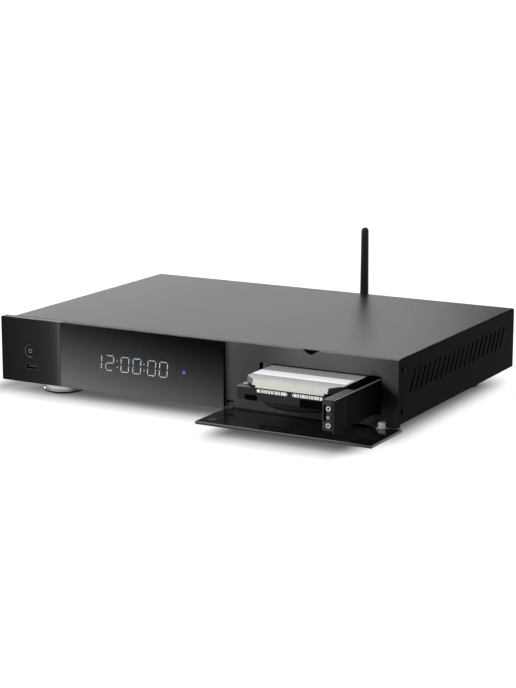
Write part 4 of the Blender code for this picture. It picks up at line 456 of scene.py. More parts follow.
def cross_screw(name, facing, place):
    """A screw whose head is turned, pressed with a cross and set on the case."""
    head = turned(name, HEAD_PROFILE, "+Z", ORIGIN, sides=28)
    top = (0.0, 0.0, HEAD_PROFILE[-1][1])
    for across, along in ((CROSS_LENGTH, CROSS_WIDTH), (CROSS_WIDTH, CROSS_LENGTH)):
        cut(head, block("cross", top, (across, along, 2 * CROSS_DEPTH)))
    fit(stand(head, facing, place), screw_black, "black_sheet", "case")


screw_black = finish_of("blacked_screw_steel", SCREW_BLACK, 0.40, size=0.0004,
                        depth=0.000004, patch=0.002, specular=0.02)
for side, (facing, edge) in SIDE_FACES.items():
    for number, place in enumerate(SIDE_SCREWS):
        cross_screw(f"cover_screw_{side}_{number}", facing, (edge, *place))
for number, (across, height) in enumerate(REAR_SCREWS):
    cross_screw(f"rear_screw_{number}", "+Y", (across, REAR_FACE, height))

# Four feet carry the pan. Each is a cup turned from aluminium and satin
# chromed, with a fine groove, on a black rubber pad with a screw up its middle.
FOOT_ALONG = {"front": -0.07478, "back": 0.13303}
FOOT_ACROSS = {"left": -0.163, "right": 0.171}
FOOT_PROFILE = ((0.0168, 0.0014), (0.0192, 0.0014), (0.0199, 0.0018), (0.0202, 0.0025), (0.0202, 0.0042),
                (0.0197, 0.0045), (0.0197, 0.0052), (0.0202, 0.0055), (0.0202, 0.0152), (0.0196, 0.0162),
                (0.0188, 0.0165), (0.0040, 0.0165), (0.0040, 0.0050), (0.0168, 0.0050), (0.0168, 0.0014))
PAD_PROFILE = ((0.0060, 0.0), (0.0150, 0.0), (0.0160, 0.0006), (0.0165, 0.0014), (0.0165, 0.0046),
               (0.0038, 0.0046), (0.0038, 0.0028), (0.0056, 0.0026), (0.0060, 0.0))
CHROME = (0.50, 0.49, 0.48)
FOOT_RIM = ((0.0030, 0.004), (0.0034, CHROME))
RUBBER = 0.022

satin_chrome = finish_of("satin_chrome", CHROME, 0.24, metal=1.0, size=0.0016, depth=0.0000015,
                         stretch=(1.0, 1.0, 8.0), vary=0.05, patch=0.02)
colour_by(satin_chrome, graded(satin_chrome.node_tree, ALONG_Z, *FOOT_RIM))
rubber = finish_of("foot_rubber", RUBBER, 0.85, size=0.0005, depth=0.00002, specular=0.3)
for end, along in FOOT_ALONG.items():
    for side, across in FOOT_ACROSS.items():
        place = (across, along, 0.0)
        fit(turned(f"turned_foot_{end}_{side}", FOOT_PROFILE, "+Z", place, sides=72),
            satin_chrome, "bright_metal", "case", f"foot_{end}_{side}")
        fit(turned(f"rubber_pad_{end}_{side}", PAD_PROFILE, "+Z", place, sides=56),
            rubber, "black_rubber", "case", f"pad_{end}_{side}")

# The end block is a solid bar of black anodised aluminium at the panel's left end. It carries the button
# and the front socket, and closes on the window. Its colour is painted lighter towards its right end, a
# painted sheen.
BLOCK_BLACK = (0.0120, 0.0121, 0.0124)
BLOCK_PAINTED_SHEEN = ((-0.213, 0.0095), (-0.196, 0.0118), (-0.190, 0.0135), (-0.170, 0.0180),
               (-0.160, 0.0220), (-0.155, 0.0264), (-0.151, 0.0338), (-0.148, 0.0466), (-0.1455, 0.0850))

block_finish = finish_of("black_anodised_bar", BLOCK_BLACK, 0.42, size=0.0005, depth=0.000006,
                         specular=0.010)
# Painted sheen: the bar grows lighter towards its right end.
colour_by(block_finish, graded(block_finish.node_tree, ALONG_X, *BLOCK_PAINTED_SHEEN))
dress(block_finish, "charcoal_moulding", "end_block")

# The power button is turned and slightly dished, and slides in a turned ring
# pressed into the block. A power mark is printed in light grey on its face.
RING_PLACE = (-0.180, -0.1056, 0.0443)
RING_PROFILE = ((0.00535, 0.0), (0.0068, 0.0), (0.0068, 0.0013), (0.0065, 0.0018), (0.0060, 0.0019),
                (0.0056, 0.0016), (0.00535, 0.0010), (0.00535, 0.0))
BUTTON_PLACE = (-0.180, -0.1038, 0.0443)
BUTTON_PROFILE = ((0.0051, 0.0), (0.0051, 0.0031), (0.0049, 0.0035), (0.0045, 0.0036), (0.0030, 0.0034),
                  (0.0012, 0.00333))
MARK_RADIUS = 0.00185
MARK_LINE = 0.00042
MARK_OPEN = radians(50.0)
MARK_THICK = 0.00008
MARK_CENTRE = (-0.180, -0.1072, 0.0443)
MARK_STEM = (-0.180, -0.1072, 0.0458725)
MARK_GREY = (0.22, 0.22, 0.23)
RING_BLACK = (0.0030, 0.0030, 0.0032)


def power_mark(name):
    """An open circle spun from a small square, and an upright bar in its gap, facing -Y."""
    line = square(name)
    line.data.transform(Matrix.Translation(MARK_CENTRE) @ Matrix.Rotation(-MARK_OPEN / 2, 4, "Y")
                        @ Matrix.Translation((0.0, 0.0, MARK_RADIUS)) @ Matrix.Rotation(pi / 2, 4, "Y")
                        @ Matrix.Diagonal((MARK_LINE, MARK_THICK, 1.0, 1.0)))
    bpy.ops.object.mode_set(mode="EDIT")
    bpy.ops.mesh.select_all(action="SELECT")
    bpy.ops.mesh.spin(steps=28, angle=2 * pi - MARK_OPEN, center=MARK_CENTRE, axis=ALONG_Y)
    bpy.ops.mesh.select_all(action="SELECT")
    bpy.ops.mesh.normals_make_consistent(inside=False)
    return joined(name, line, block("bar", MARK_STEM, (MARK_LINE, MARK_THICK, MARK_RADIUS)))


ring_finish = finish_of("dark_turned_ring", RING_BLACK, 0.22, size=0.0005, depth=0.000003, specular=0.70)
button_finish = finish_of("dark_turned_button", RING_BLACK, 0.40, size=0.0004, depth=0.000003,
                          specular=0.10)
mark_grey = finish_of("grey_print", MARK_GREY, 0.5, size=0.0003, vary=0.04)
fit(turned("turned_power_ring", RING_PROFILE, "-Y", RING_PLACE, sides=56),
    ring_finish, "gloss_black", "case", "power_ring")
fit(turned("turned_power_button", BUTTON_PROFILE, "-Y", BUTTON_PLACE, sides=56),
    button_finish, "gloss_black", "power_button", "power_button")
fit(power_mark("power_mark"), mark_grey, "gloss_black", "power_button")

# The front socket is a pressed steel shell with a black tongue and four gilt
# contacts, soldered to the small board behind the block beside the switch.
SOCKET_ACROSS = (-0.18495, -0.17505)
TONGUE_ALONG = (-0.1048, -0.0925)
TONGUE_UP = (0.02785, 0.02955)
TONGUE_TAPER = 0.00034
CONTACT_ALONG = (-0.1039, -0.0925)
CONTACT_UP = 0.02781
CONTACT_COUNT = 4
CONTACT_WIDTH = 0.0010
CONTACT_THICK = 0.00012
CONTACT_ROUND = 0.3
GILT = (0.78, 0.56, 0.20)
SHELL_STEEL = (0.60, 0.60, 0.61)
BOARD_GREEN = (0.012, 0.060, 0.028)

shell_steel = finish_of("nickel_shell", SHELL_STEEL, 0.28, metal=1.0)
dress(finish_of("blacked_shell", 0.05, 0.3, metal=0.9), "bright_metal", "front_usb_port")
gilt = finish_of("gilt_contact", GILT, 0.25, metal=1.0, size=0.0005, depth=0.000001, vary=0.05)
socket_black = finish_of("socket_moulding", (0.014, 0.014, 0.015), 0.5, size=0.0005, depth=0.000005)
dress(finish_of("green_board", BOARD_GREEN, 0.35, size=0.0012, depth=0.000012, vary=0.3, patch=0.004),
      "board_green", "front_board", "backplane_board", "drive_board", "main_board", "power_board")
dress(socket_black, "socket_black", "tact_switch")


def contacts(name, body, across, along, height, count, width, thick=CONTACT_THICK):
    """A row of flat gilt contacts with rounded ends, all at one height."""
    pitch = (across[1] - across[0]) / count
    size = (width, along[1] - along[0], thick)
    row = [block(name, (across[0] + pitch * (number + 0.5), sum(along) / 2, height), size)
           for number in range(count)]
    fit(joined(name, *(soften(one, thick * CONTACT_ROUND, 1) for one in row)), gilt, "bright_metal", body)


fit(soften(slab("front_usb_tongue", *zip(SOCKET_ACROSS, TONGUE_ALONG, TONGUE_UP)), TONGUE_TAPER),
    socket_black, "socket_black", "case")
contacts("front_usb_contacts", "case", SOCKET_ACROSS, CONTACT_ALONG, CONTACT_UP, CONTACT_COUNT,
         CONTACT_WIDTH)

# The window is a smoked acrylic plate that carries a painted reflection of the white table, lighter towards
# its lower left and darker towards its upper right. It is held before a black frame, with the clock's glass
# display module behind it.
SMOKE_DARK = (0.0042, 0.0042, 0.0045)
REFLECTION_LIGHT = 0.155
REFLECTION_RUN = (-0.145, 0.0, -1.0)
REFLECTION_ENDS = (-0.078, 0.0013)
REFLECTION_EASE = 1.8
REFLECTION_GRAIN = 0.0008
REFLECTION_DRIFT = 0.0007
REFLECTION_STOP = (0.0375, 0.0378)
SMOKE_PATCH = 0.004
SMOKE_ROUGH = (0.34, 0.38)
SMOKE_SHEEN = 0.002
SMOKE_CLEAR = 0.86

smoked = bpy.data.materials.new("smoked_acrylic")
smoked.use_nodes = True
smoke_tree = smoked.node_tree
# A painted reflection: lighter towards the lower left, wobbled by a fine grain, and stopping short of the
# plate's right end.
reflection_place = wired(smoke_tree, "Math", {
    0: run_of(smoke_tree, REFLECTION_RUN),
    1: spread(smoke_tree, grain(smoke_tree, REFLECTION_GRAIN), -REFLECTION_DRIFT, REFLECTION_DRIFT)}, operation="ADD")
reflection_ease = wired(smoke_tree, "Math", {0: spread(smoke_tree, reflection_place, 0.0, 1.0, *REFLECTION_ENDS),
                                        1: REFLECTION_EASE}, operation="POWER")
smoke_and_reflection = ramp(smoke_tree, reflection_ease, (0.0, SMOKE_DARK), (1.0, REFLECTION_LIGHT))
colour_by(smoked, mixed(smoke_tree, past(smoke_tree, ALONG_X, *REFLECTION_STOP), smoke_and_reflection, SMOKE_DARK[0]))
for socket, value in (("Roughness", spread(smoke_tree, grain(smoke_tree, SMOKE_PATCH), *SMOKE_ROUGH)),
                      ("Specular IOR Level", SMOKE_SHEEN), ("Alpha", SMOKE_CLEAR)):
    put(shader_of(smoked).inputs[socket], value)
dress(smoked, "smoked_acrylic", "display_window")

dress(finish_of("matte_black_moulding", (0.010, 0.010, 0.0105), 0.55, size=0.0006, depth=0.000010,
                specular=0.3), "matte_moulding", "rocker_frame", "ac_inlet", "guide_left", "guide_right")
dress(finish_of("dull_black_frame", 0.004, COVER_ROUGH, size=0.0006, depth=0.000004, specular=0.005),
      "matte_moulding", "display_frame")
dress(finish_of("display_glass", (0.004, 0.005, 0.006), 0.35, size=0.002, depth=0.000001, specular=0.05),
      "display_glass", "display_module")

# The clock's digits are thin leaning segments of a pale blue fluorescent
# display, and a small blue lamp beside them shows that the player is on.
DIGIT_FRONT = -0.1032
DIGIT_THICK = 0.0003
DIGIT_UP = 0.0412
DIGIT_HALF = (0.0043, 0.0072)
DIGIT_LINE = 0.00058
DIGIT_CLIP = 0.000174
DIGIT_GAP = 0.00085
DIGIT_LEAN = 0.07
SEGMENTS = {"0": "abcdef", "1": "bc", "2": "abged"}
SEGMENT_ENDS = {"a": ((-1, 1), (1, 1)), "b": ((1, 0), (1, 1)), "c": ((1, -1), (1, 0)),
                "d": ((-1, -1), (1, -1)), "e": ((-1, -1), (-1, 0)), "f": ((-1, 0), (-1, 1)),
                "g": ((-1, 0), (1, 0))}
CLOCK = (("1", -0.1038), ("2", -0.0901), ("0", -0.0729), ("0", -0.0594), ("0", -0.0429), ("0", -0.0298))
COLONS = (-0.0816, -0.0513)
COLON_UP = (0.038032, 0.04408)
COLON_DOT = (0.0010, DIGIT_THICK, 0.0010)
COLON_ROUND = 0.00015
LAMP_PLACE = (-0.0073, DIGIT_FRONT, 0.0409)
DIGIT_GLOW = (0.74, 0.86, 1.0)
LAMP_GLOW = (0.10, 0.28, 0.85)
GLOW_PATCH = 0.003
GLOW_VARY = 0.1
UNLIT_SHARE = 0.5
DIGIT_POWER = 36.0
LAMP_POWER = 26.0
LAMP_PROFILE = ((0.0017, 0.0), (0.0017, 0.0002), (0.00136, 0.0003), (0.00051, 0.00035))


def glowing(name, colour, power):
    """A lit material with a slow unevenness in its strength."""
    made = finish_of(name, scaled(colour, UNLIT_SHARE), 0.4, vary=0.05)
    tree = made.node_tree
    strength = spread(tree, grain(tree, GLOW_PATCH), power * (1 - GLOW_VARY), power * (1 + GLOW_VARY))
    put(shader_of(made).inputs["Emission Color"], toned(colour))
    put(shader_of(made).inputs["Emission Strength"], strength)
    return made


def segment(name, start, end):
    """A thin bar between two points of the display's face, with pointed ends."""
    run = end - start
    piece = block(name, ORIGIN, (run.length - 2 * DIGIT_GAP, DIGIT_THICK, DIGIT_LINE))
    clipped(piece, ALONG_Y, DIGIT_CLIP, 1)
    across, height = (start + end) / 2
    piece.data.transform(Matrix.Translation((across, DIGIT_FRONT, height))
                         @ Matrix.Rotation(atan2(-run.y, run.x), 4, "Y"))
    return piece


def digit_corner(middle, across, up):
    """A corner of a digit, leaning with its height."""
    rise = up * DIGIT_HALF[1]
    return Vector((middle + across * DIGIT_HALF[0] + rise * DIGIT_LEAN, DIGIT_UP + rise))


pieces = [segment(f"segment_{place}{name}", *(digit_corner(middle, *end) for end in SEGMENT_ENDS[name]))
          for place, (digit, middle) in enumerate(CLOCK) for name in SEGMENTS[digit]]
pieces += [soften(block("colon_dot", (middle, DIGIT_FRONT, height), COLON_DOT), COLON_ROUND, 1)
           for middle in COLONS for height in COLON_UP]
fit(joined("clock_digits", *pieces), glowing("fluorescent_segment", DIGIT_GLOW, DIGIT_POWER),
    "display_glass", "case")
fit(turned("status_lamp", LAMP_PROFILE, "-Y", LAMP_PLACE, sides=24),
    glowing("blue_lamp", LAMP_GLOW, LAMP_POWER), "display_glass", "case")

# The bay fascia is a plate of dark satin aluminium round the drive bay's mouth. Its front is painted
# lighter and darker along its length as light falls on it, with a painted shadow of the drive and its rail
# below a slanting edge at its right end, and behind its front face it is painted near black, a painted
# shade. A small finger notch at its top shows the keeper plate behind it, painted near black as shade in
# the notch.
FASCIA_BLACK = (0.062, 0.062, 0.064)
FASCIA_PAINTED_LIGHT = ((0.036, 0.094), (0.045, 0.076), (0.055, 0.064), (0.080, 0.062), (0.097, 0.086),
                (0.115, 0.114), (0.165, 0.116), (0.185, 0.094), (0.200, 0.066), (0.212, 0.050))
FASCIA_PAINTED_SHADOW = ((0.020, 0.034), (0.028, 0.024), (0.036, 0.011), (0.044, 0.006))
FASCIA_SHADOW_RUN = (0.7, 0.0, 1.0)
FASCIA_SHADOW_RISE = ((0.1895, 1.0), (0.1990, 0.0))
FASCIA_SHADOW_START = (0.185, 0.191)
FASCIA_SKIN = (-0.1023, -0.1021)
FASCIA_INSIDE_SHADE = 0.003

fascia_finish = finish_of("dark_satin_plate", FASCIA_BLACK, 0.45, size=0.0005, depth=0.000006,
                          specular=0.008)
fascia_tree = fascia_finish.node_tree
# Painted shadow of the drive and rail at the fascia's right end, below a slanting edge; painted light and
# shade along the rest of the front; painted shade behind the front face.
fascia_shadow_edge = graded(fascia_tree, FASCIA_SHADOW_RUN, *FASCIA_SHADOW_RISE)
fascia_shadow_mask = mixed(fascia_tree, past(fascia_tree, ALONG_X, *FASCIA_SHADOW_START), 0.0, fascia_shadow_edge)
fascia_light_and_shadow = mixed(fascia_tree, fascia_shadow_mask, graded(fascia_tree, ALONG_X, *FASCIA_PAINTED_LIGHT),
                     graded(fascia_tree, ALONG_Z, *FASCIA_PAINTED_SHADOW))
colour_by(fascia_finish, mixed(fascia_tree, past(fascia_tree, ALONG_Y, *FASCIA_SKIN), fascia_light_and_shadow,
                               FASCIA_INSIDE_SHADE))
dress(fascia_finish, "charcoal_moulding", "bay_fascia")
# Near black put where there is only shade, a painted shade: the catch in the notch, the screws' hexagon
# wells, the latch slot and the recesses on the casting.
painted_shade_black = finish_of("deep_shadow_black", 0.0015, 0.8, size=0.0008, depth=0.000004, specular=0.01)
dress(painted_shade_black, "gloss_black", "flap_catch")

# The flap is a glossy black plate hinged low on the fascia, shown open. A
# small magnet let into its left end meets the keeper when it is shut.
FLAP_BLACK = (0.0138, 0.0150, 0.0164)

dress(finish_of("glossy_black_plate", FLAP_BLACK, 0.09, size=0.003, depth=0.0000006, specular=0.50),
      "gloss_black", "flap")
dress(shell_steel, "bright_metal", "flap_magnet")

# Two hinge arms with round barrels are fixed on the flap and swing on steel pins in the fascia's foot. The
# right one is bright, and the left one is painted dark, a painted shade on a copy of the same metal.
HINGE_BRIGHT = 0.90
HINGE_SHADED = (0.045, 0.046, 0.048)

dress(finish_of("bright_cast_hinge", HINGE_BRIGHT, 0.45, metal=0.3, size=0.0012, depth=0.000004),
      "bright_metal", "hinge_arm_right", "hinge_pin_right")
# The left arm's dark colour is a painted shade.
dress(finish_of("shaded_cast_hinge", HINGE_SHADED, 0.45, size=0.0012, depth=0.000004, specular=0.08),
      "bright_metal", "hinge_arm_left", "hinge_pin_left")

# The drive cage is folded from zinc-plated sheet and screwed to the pan, its plating painted far darker
# than the pan's as shade inside the bay. The board across its far end carries the gilt socket that the
# drive plugs into.
CAGE_PAINTED_SHADE = (0.030, 0.030, 0.032)
BLADES_ACROSS = (0.1140, 0.1510)
SATA_UP = 0.0362
SATA_ALONG = (0.0765, 0.0830)
BLADE_COUNT = 22
BLADE_WIDTH = 0.0009

# The cage's plating is painted far darker than the pan's: a painted shade inside the bay.
dress(finish_of("shaded_plated_cage", CAGE_PAINTED_SHADE, 0.45, metal=0.8, size=0.0015, depth=0.000004, vary=0.15,
                patch=PLATED_SPANGLE), "plated_sheet", "drive_cage")
dress(socket_black, "socket_black", "sata_socket")
contacts("drive_socket_contacts", "case", BLADES_ACROSS, SATA_ALONG, SATA_UP, BLADE_COUNT, BLADE_WIDTH)

# The earth spring is a bowed leaf of bright spring steel, slit into fingers and
# riveted to the cage's left wall, where it rubs on the carrier as it slides in.
LEAF_START = (0.07285, -0.0944)
LEAF_END = (0.07285, -0.0728)
LEAF_BOW = 0.0060
LEAF_STEPS = 18
LEAF_UP = (0.0526, 0.0596)
LEAF_THICK = 0.0004
LEAF_SLITS = (0.05475, 0.05705)
LEAF_SLIT = 0.00045
SLIT_ALONG = (-0.0928, -0.0744)


def ribbon(name, path, low, high, thick):
    """A folded strip of sheet: an upright edge carried from place to place on the plan."""
    (start_x, start_y), (next_x, next_y) = path[:2]
    piece = square(name)
    first = Matrix(((next_x - start_x, 0.0, 0.0, (start_x + next_x) / 2),
                    (next_y - start_y, 0.0, 1.0, (start_y + next_y) / 2),
                    (0.0, high - low, 0.0, (low + high) / 2), (0.0, 0.0, 0.0, 1.0)))
    piece.data.transform(first)
    pick(piece, "EDGE", lambda middle, way: abs(way.z) > STRAIGHT and
         (middle.xy - Vector(path[1])).length < (middle.xy - Vector(path[0])).length)
    for (x, y), (to_x, to_y) in zip(path[1:], path[2:]):
        bpy.ops.mesh.extrude_edges_move(TRANSFORM_OT_translate={"value": (to_x - x, to_y - y, 0.0)})
    modify(piece, "SOLIDIFY", thickness=thick, offset=0.0)
    bpy.ops.object.shade_smooth_by_angle(angle=SMOOTH_UNDER)
    return piece


leaf_path = [(LEAF_START[0] + LEAF_BOW * sin(pi * step / LEAF_STEPS),
              LEAF_START[1] + (LEAF_END[1] - LEAF_START[1]) * step / LEAF_STEPS)
             for step in range(LEAF_STEPS + 1)]
leaf = ribbon("earth_leaf", leaf_path, *LEAF_UP, LEAF_THICK)
cut(leaf, *[slab("slit", (LEAF_START[0] - LEAF_BOW, SLIT_ALONG[0], height - LEAF_SLIT / 2),
                 (LEAF_START[0] + 2 * LEAF_BOW, SLIT_ALONG[1], height + LEAF_SLIT / 2))
            for height in LEAF_SLITS])
spring_steel = finish_of("bright_spring_steel", 0.93, 0.35, metal=0.05)
fit(leaf, spring_steel, "plated_sheet", "case", "earth_spring")

# The carrier's rail is a long black plate that slides in the bay's right side; its front end is painted
# lighter as painted light, and its top carries a painted highlight. A thin textured cheek is bonded to its
# right face at the front for the fingers.
RAIL_BLACK = (0.0030, 0.0030, 0.0031)
RAIL_END_PAINTED_LIGHT = 0.026
RAIL_END = (-0.1926, -0.1924)
RAIL_TOP_PAINTED_HIGHLIGHT = ((0.0566, RAIL_BLACK), (0.0568, 0.12))
CHEEK_BOX = ((0.19550, -0.1920, 0.0284), (0.19572, -0.1682, 0.0563))
CHEEK_RIM = 0.0006
CHEEK_STEP = (0.0003, -0.0001)
CHEEK_BLACK = (0.0090, 0.0090, 0.0088)

rail_finish = finish_of("black_rail", RAIL_BLACK, 0.42, size=0.0006, depth=0.000008, specular=0.008)
rail_tree = rail_finish.node_tree
# Painted light on the front end and a painted highlight along the top.
colour_by(rail_finish, mixed(rail_tree, past(rail_tree, ALONG_Y, *RAIL_END), RAIL_END_PAINTED_LIGHT,
                             graded(rail_tree, ALONG_Z, *RAIL_TOP_PAINTED_HIGHLIGHT)))
cheek_finish = finish_of("textured_cheek", CHEEK_BLACK, 0.5, size=0.0007, depth=0.00002, specular=0.008)
dress(rail_finish, "charcoal_moulding", "carrier_rail")
cheek = slab("rail_cheek", *CHEEK_BOX)
pick(cheek, "FACE", lambda middle, way: way.x > STRAIGHT)
bpy.ops.mesh.inset(thickness=CHEEK_RIM, depth=0.0)
bpy.ops.mesh.inset(thickness=CHEEK_STEP[0], depth=CHEEK_STEP[1])
bpy.ops.object.mode_set(mode="OBJECT")
fit(cheek, cheek_finish, "charcoal_moulding", "carrier")

# The latch housing is a moulded black block on the rail's front end, its top and sides painted darker than
# its front, a painted shade. Two bright hexagon-socket screws hold it, and a slotted release nub sits
# between them.
SOCKET_SCREW_X = 0.1901
SOCKET_SCREW_UP = {"lower": 0.0349, "upper": 0.0497}
SOCKET_SCREW_BACK = -0.1919
SOCKET_SCREW_PROFILE = ((0.0023, 0.0), (0.0023, 0.0015), (0.0021, 0.0019), (0.00155, 0.0020),
                        (0.00145, 0.0018))
HEXAGON = ((0.00128, 0.0009), (0.00128, 0.0030))
HEX_SHADE_PROFILE = ((0.0012544, 0.0009), (0.0012544, 0.0013), (0.00064, 0.00114))
NUB_PROFILE = ((0.0017, 0.0), (0.0017, 0.0011), (0.0015, 0.0015), (0.0008, 0.0016))
NUB_PLACE = (SOCKET_SCREW_X, -0.19278, 0.0421)
NUB_SLOT = ((-0.0012, -0.00018, 0.0013), (0.0012, 0.00018, 0.0020))
HOUSING_BLACK = (0.043, 0.043, 0.0438)
HOUSING_PAINTED_SHADE = ((-0.1926, HOUSING_BLACK), (-0.1918, (0.028, 0.028, 0.0288)))
SLOT_SHADE_BOX = ((0.18504, -0.1913, 0.03814), (0.18756, -0.1870, 0.05226))
FINE_EDGE = 0.0002

housing_finish = finish_of("housing_moulding", HOUSING_BLACK, 0.5, size=0.0005, depth=0.000012,
                           specular=0.010)
# Painted shade: darker behind the front face.
colour_by(housing_finish, graded(housing_finish.node_tree, ALONG_Y, *HOUSING_PAINTED_SHADE))
dress(housing_finish, "matte_moulding", "latch_housing")
bright_screw = finish_of("bright_socket_screw", 0.55, 0.30, metal=1.0, size=0.0006)
nub_finish = finish_of("release_nub_steel", 0.20, 0.35, metal=0.8, size=0.0004, depth=0.000003)
for name, height in SOCKET_SCREW_UP.items():
    screw = turned(f"socket_screw_{name}", SOCKET_SCREW_PROFILE, "+Z", ORIGIN, sides=36)
    cut(screw, turned("hexagon", HEXAGON, "+Z", ORIGIN, sides=6))
    place = (SOCKET_SCREW_X, SOCKET_SCREW_BACK, height)
    fit(stand(screw, "-Y", place), bright_screw, "bright_metal", "carrier", f"housing_screw_{name}")
    # A near-black plug in each hexagon well is painted shade.
    fit(turned(f"socket_shade_plug_{name}", HEX_SHADE_PROFILE, "-Y", place, sides=6),
        painted_shade_black, "bright_metal", "carrier")
nub = turned("release_nub", NUB_PROFILE, "+Z", ORIGIN, sides=32)
cut(nub, slab("slot", *NUB_SLOT))
fit(stand(nub, "-Y", NUB_PLACE), nub_finish, "bright_metal", "latch_button", "latch_button")
# A near-black block in the latch slot is painted shade.
fit(soften(slab("latch_slot_shade", *SLOT_SHADE_BOX), FINE_EDGE, 1), painted_shade_black, "socket_black", "carrier")

# The tray is folded from black sheet under the drive's rear half. The drive
# stands on its four posts through soft rubber rings.
dress(finish_of("black_tray_sheet", (0.012, 0.012, 0.013), 0.5, metal=0.2, size=0.0006, depth=0.000008,
                specular=0.2), "plated_sheet", "carrier_tray")

# The drive's base is an aluminium casting in a black coat, with a round drum below its rim, coloured darker
# than the rim. A small machined land is left bare at the front left corner. Two thin near-black plates on
# its front are painted shade in the casting's recesses.
CAST_BLACK = (0.016, 0.016, 0.0172)
DRUM_TURN = ((0.0375, (0.0038, 0.0038, 0.0040)), (0.0405, CAST_BLACK))
LAND_LOW = (0.0823, -0.1503, 0.05078)
LAND_HIGH = (0.0880, -0.1436, 0.05095)
POCKET_SHADES = (((0.0912, 0.0394), (0.1036, 0.0445)), ((0.1460, 0.0388), (0.1762, 0.0462)))
POCKET_SHADE_SKIN = 0.00008
CAST_ROUND = 0.0012
BASE_FRONT = -0.1618
SIDE_BORES = ((0.0820, -0.1449, 0.0452), (0.0820, -0.1033, 0.0452), (0.0820, -0.0433, 0.0384))
BORE_PROFILE = ((0.0014, 0.0), (0.0023, 0.0), (0.0023, 0.00012), (0.0020, 0.00022), (0.0016, 0.00022),
                (0.0014, 0.00008), (0.0014, 0.0))

cast_finish = finish_of("coated_casting", CAST_BLACK, 0.5, size=0.0008, depth=0.00003, specular=0.12)
bare_metal = finish_of("machined_aluminium", (0.58, 0.58, 0.60), 0.32, metal=1.0, size=0.0006,
                       depth=0.000003, stretch=(1.0, 6.0, 1.0))
colour_by(cast_finish, graded(cast_finish.node_tree, ALONG_Z, *DRUM_TURN))
dress(cast_finish, "cast_black", "drive_base")
fit(clipped(slab("machined_land", LAND_LOW, LAND_HIGH), ALONG_Z, CAST_ROUND, 4),
    bare_metal, "lid_metal", "carrier")
# Painted shade: near-black plates where the casting's front is recessed.
for number, ((left, low), (right, high)) in enumerate(POCKET_SHADES):
    shade_plate = slab(f"pocket_shade_{number}", (left, BASE_FRONT - POCKET_SHADE_SKIN, low), (right, BASE_FRONT, high))
    fit(clipped(shade_plate, ALONG_Y, CAST_ROUND, 4), painted_shade_black, "cast_black", "carrier")
for number, place in enumerate(SIDE_BORES):
    fit(turned(f"side_bore_{number}", BORE_PROFILE, "-X", place, sides=28),
        bare_metal, "bright_metal", "carrier")

# A gasket cut from black foam sheet is glued on the base's rim under the lid.
# It seals the drive and shows as a dark line round the lid.
GASKET_LOW = (0.0862, -0.1600, 0.05080)
GASKET_HIGH = (0.1794, -0.0190, 0.05110)
GASKET_CLIP = 0.0130

foam_black = finish_of("gasket_foam", 0.006, 0.9, size=0.0007, depth=0.00003, specular=0.05)
gasket = clipped(slab("lid_gasket", GASKET_LOW, GASKET_HIGH), ALONG_Z, GASKET_CLIP, 1,
                 lambda middle: middle.y < GASKET_LOW[1] + SAME_POINT)
fit(gasket, foam_black, "black_rubber", "carrier")

# The lid is pressed from bright satin aluminium. Its front lip slopes back and is stepped at both ends, and
# is painted lighter and creamier, a painted highlight. Its front corners are clipped, the left clipped face
# painted grey and the right one near black as painted shade. Its right side is painted dark as shade, with
# a painted highlight along its top edge.
LID_LOW = (0.0853, -0.1612, 0.0511)
LID_HIGH = (0.1803, -0.0181, 0.0580)
LID_CLIP = 0.0125
LIP_REACH = 0.0044
LID_LIP = 0.0030
LID_EDGE = 0.0004
LIP_STEP_UP = 0.0530
LIP_STEPS = ((0.0800, 0.1010), (0.1690, 0.1860))
SIDE_LINE = (0.17975, 0.17985)
SIDE_SHADE_AND_HIGHLIGHT = ((LID_HIGH[2] - 0.0010, 0.008), (LID_HIGH[2] - 0.0007, 0.92))
LID_LAVENDER = (0.30, 0.295, 0.318)
LIP_PAINTED_LIGHT = ((-0.1582, (0.57, 0.56, 0.51)), (-0.1577, LID_LAVENDER))
CLIP_RIGHT_SHADE = 0.040
CLIP_LEFT_SHADE = 0.140
CLIP_SLOPE = LID_LIP / (LID_HIGH[2] - LID_LOW[2])
CLIP_RUN = (LID_CLIP / (LID_CLIP - LIP_REACH), -1.0, CLIP_SLOPE)
CLIP_LEFT_RUN = (-1.0, -1.0, CLIP_SLOPE)
CLIP_LEFT_PLACE = -LID_LOW[0] - LID_LOW[1] - LID_CLIP + CLIP_SLOPE * LID_LOW[2]
CLIP_PLACE = CLIP_RUN[0] * LID_HIGH[0] - LID_LOW[1] - LID_CLIP + CLIP_SLOPE * LID_LOW[2]
CLIP_BLUR = 0.0002

lid_finish = finish_of("satin_lid", LID_LAVENDER, 0.50, metal=0.05, size=0.0009, depth=0.000003,
                       stretch=(0.15, 1.0, 1.0), vary=0.05, patch=0.02, specular=0.06)
lid_tree = lid_finish.node_tree
# Painted light and shade: a lighter lip, a dark right side under a bright top edge, and darkened clipped
# corners.
lid_light_and_shade = mixed(lid_tree, past(lid_tree, ALONG_X, *SIDE_LINE), graded(lid_tree, ALONG_Y, *LIP_PAINTED_LIGHT),
                  graded(lid_tree, ALONG_Z, *SIDE_SHADE_AND_HIGHLIGHT))
lid_left = past(lid_tree, CLIP_LEFT_RUN, CLIP_LEFT_PLACE - CLIP_BLUR, CLIP_LEFT_PLACE)
lid_right = past(lid_tree, CLIP_RUN, CLIP_PLACE - CLIP_BLUR, CLIP_PLACE)
lid_light_and_shade = mixed(lid_tree, lid_left, lid_light_and_shade, CLIP_LEFT_SHADE)
colour_by(lid_finish, mixed(lid_tree, lid_right, lid_light_and_shade, CLIP_RIGHT_SHADE))
lid = clipped(slab("pressed_lid", LID_LOW, LID_HIGH), ALONG_Z, LID_CLIP, 1,
              lambda middle: middle.y < LID_LOW[1] + SAME_POINT)
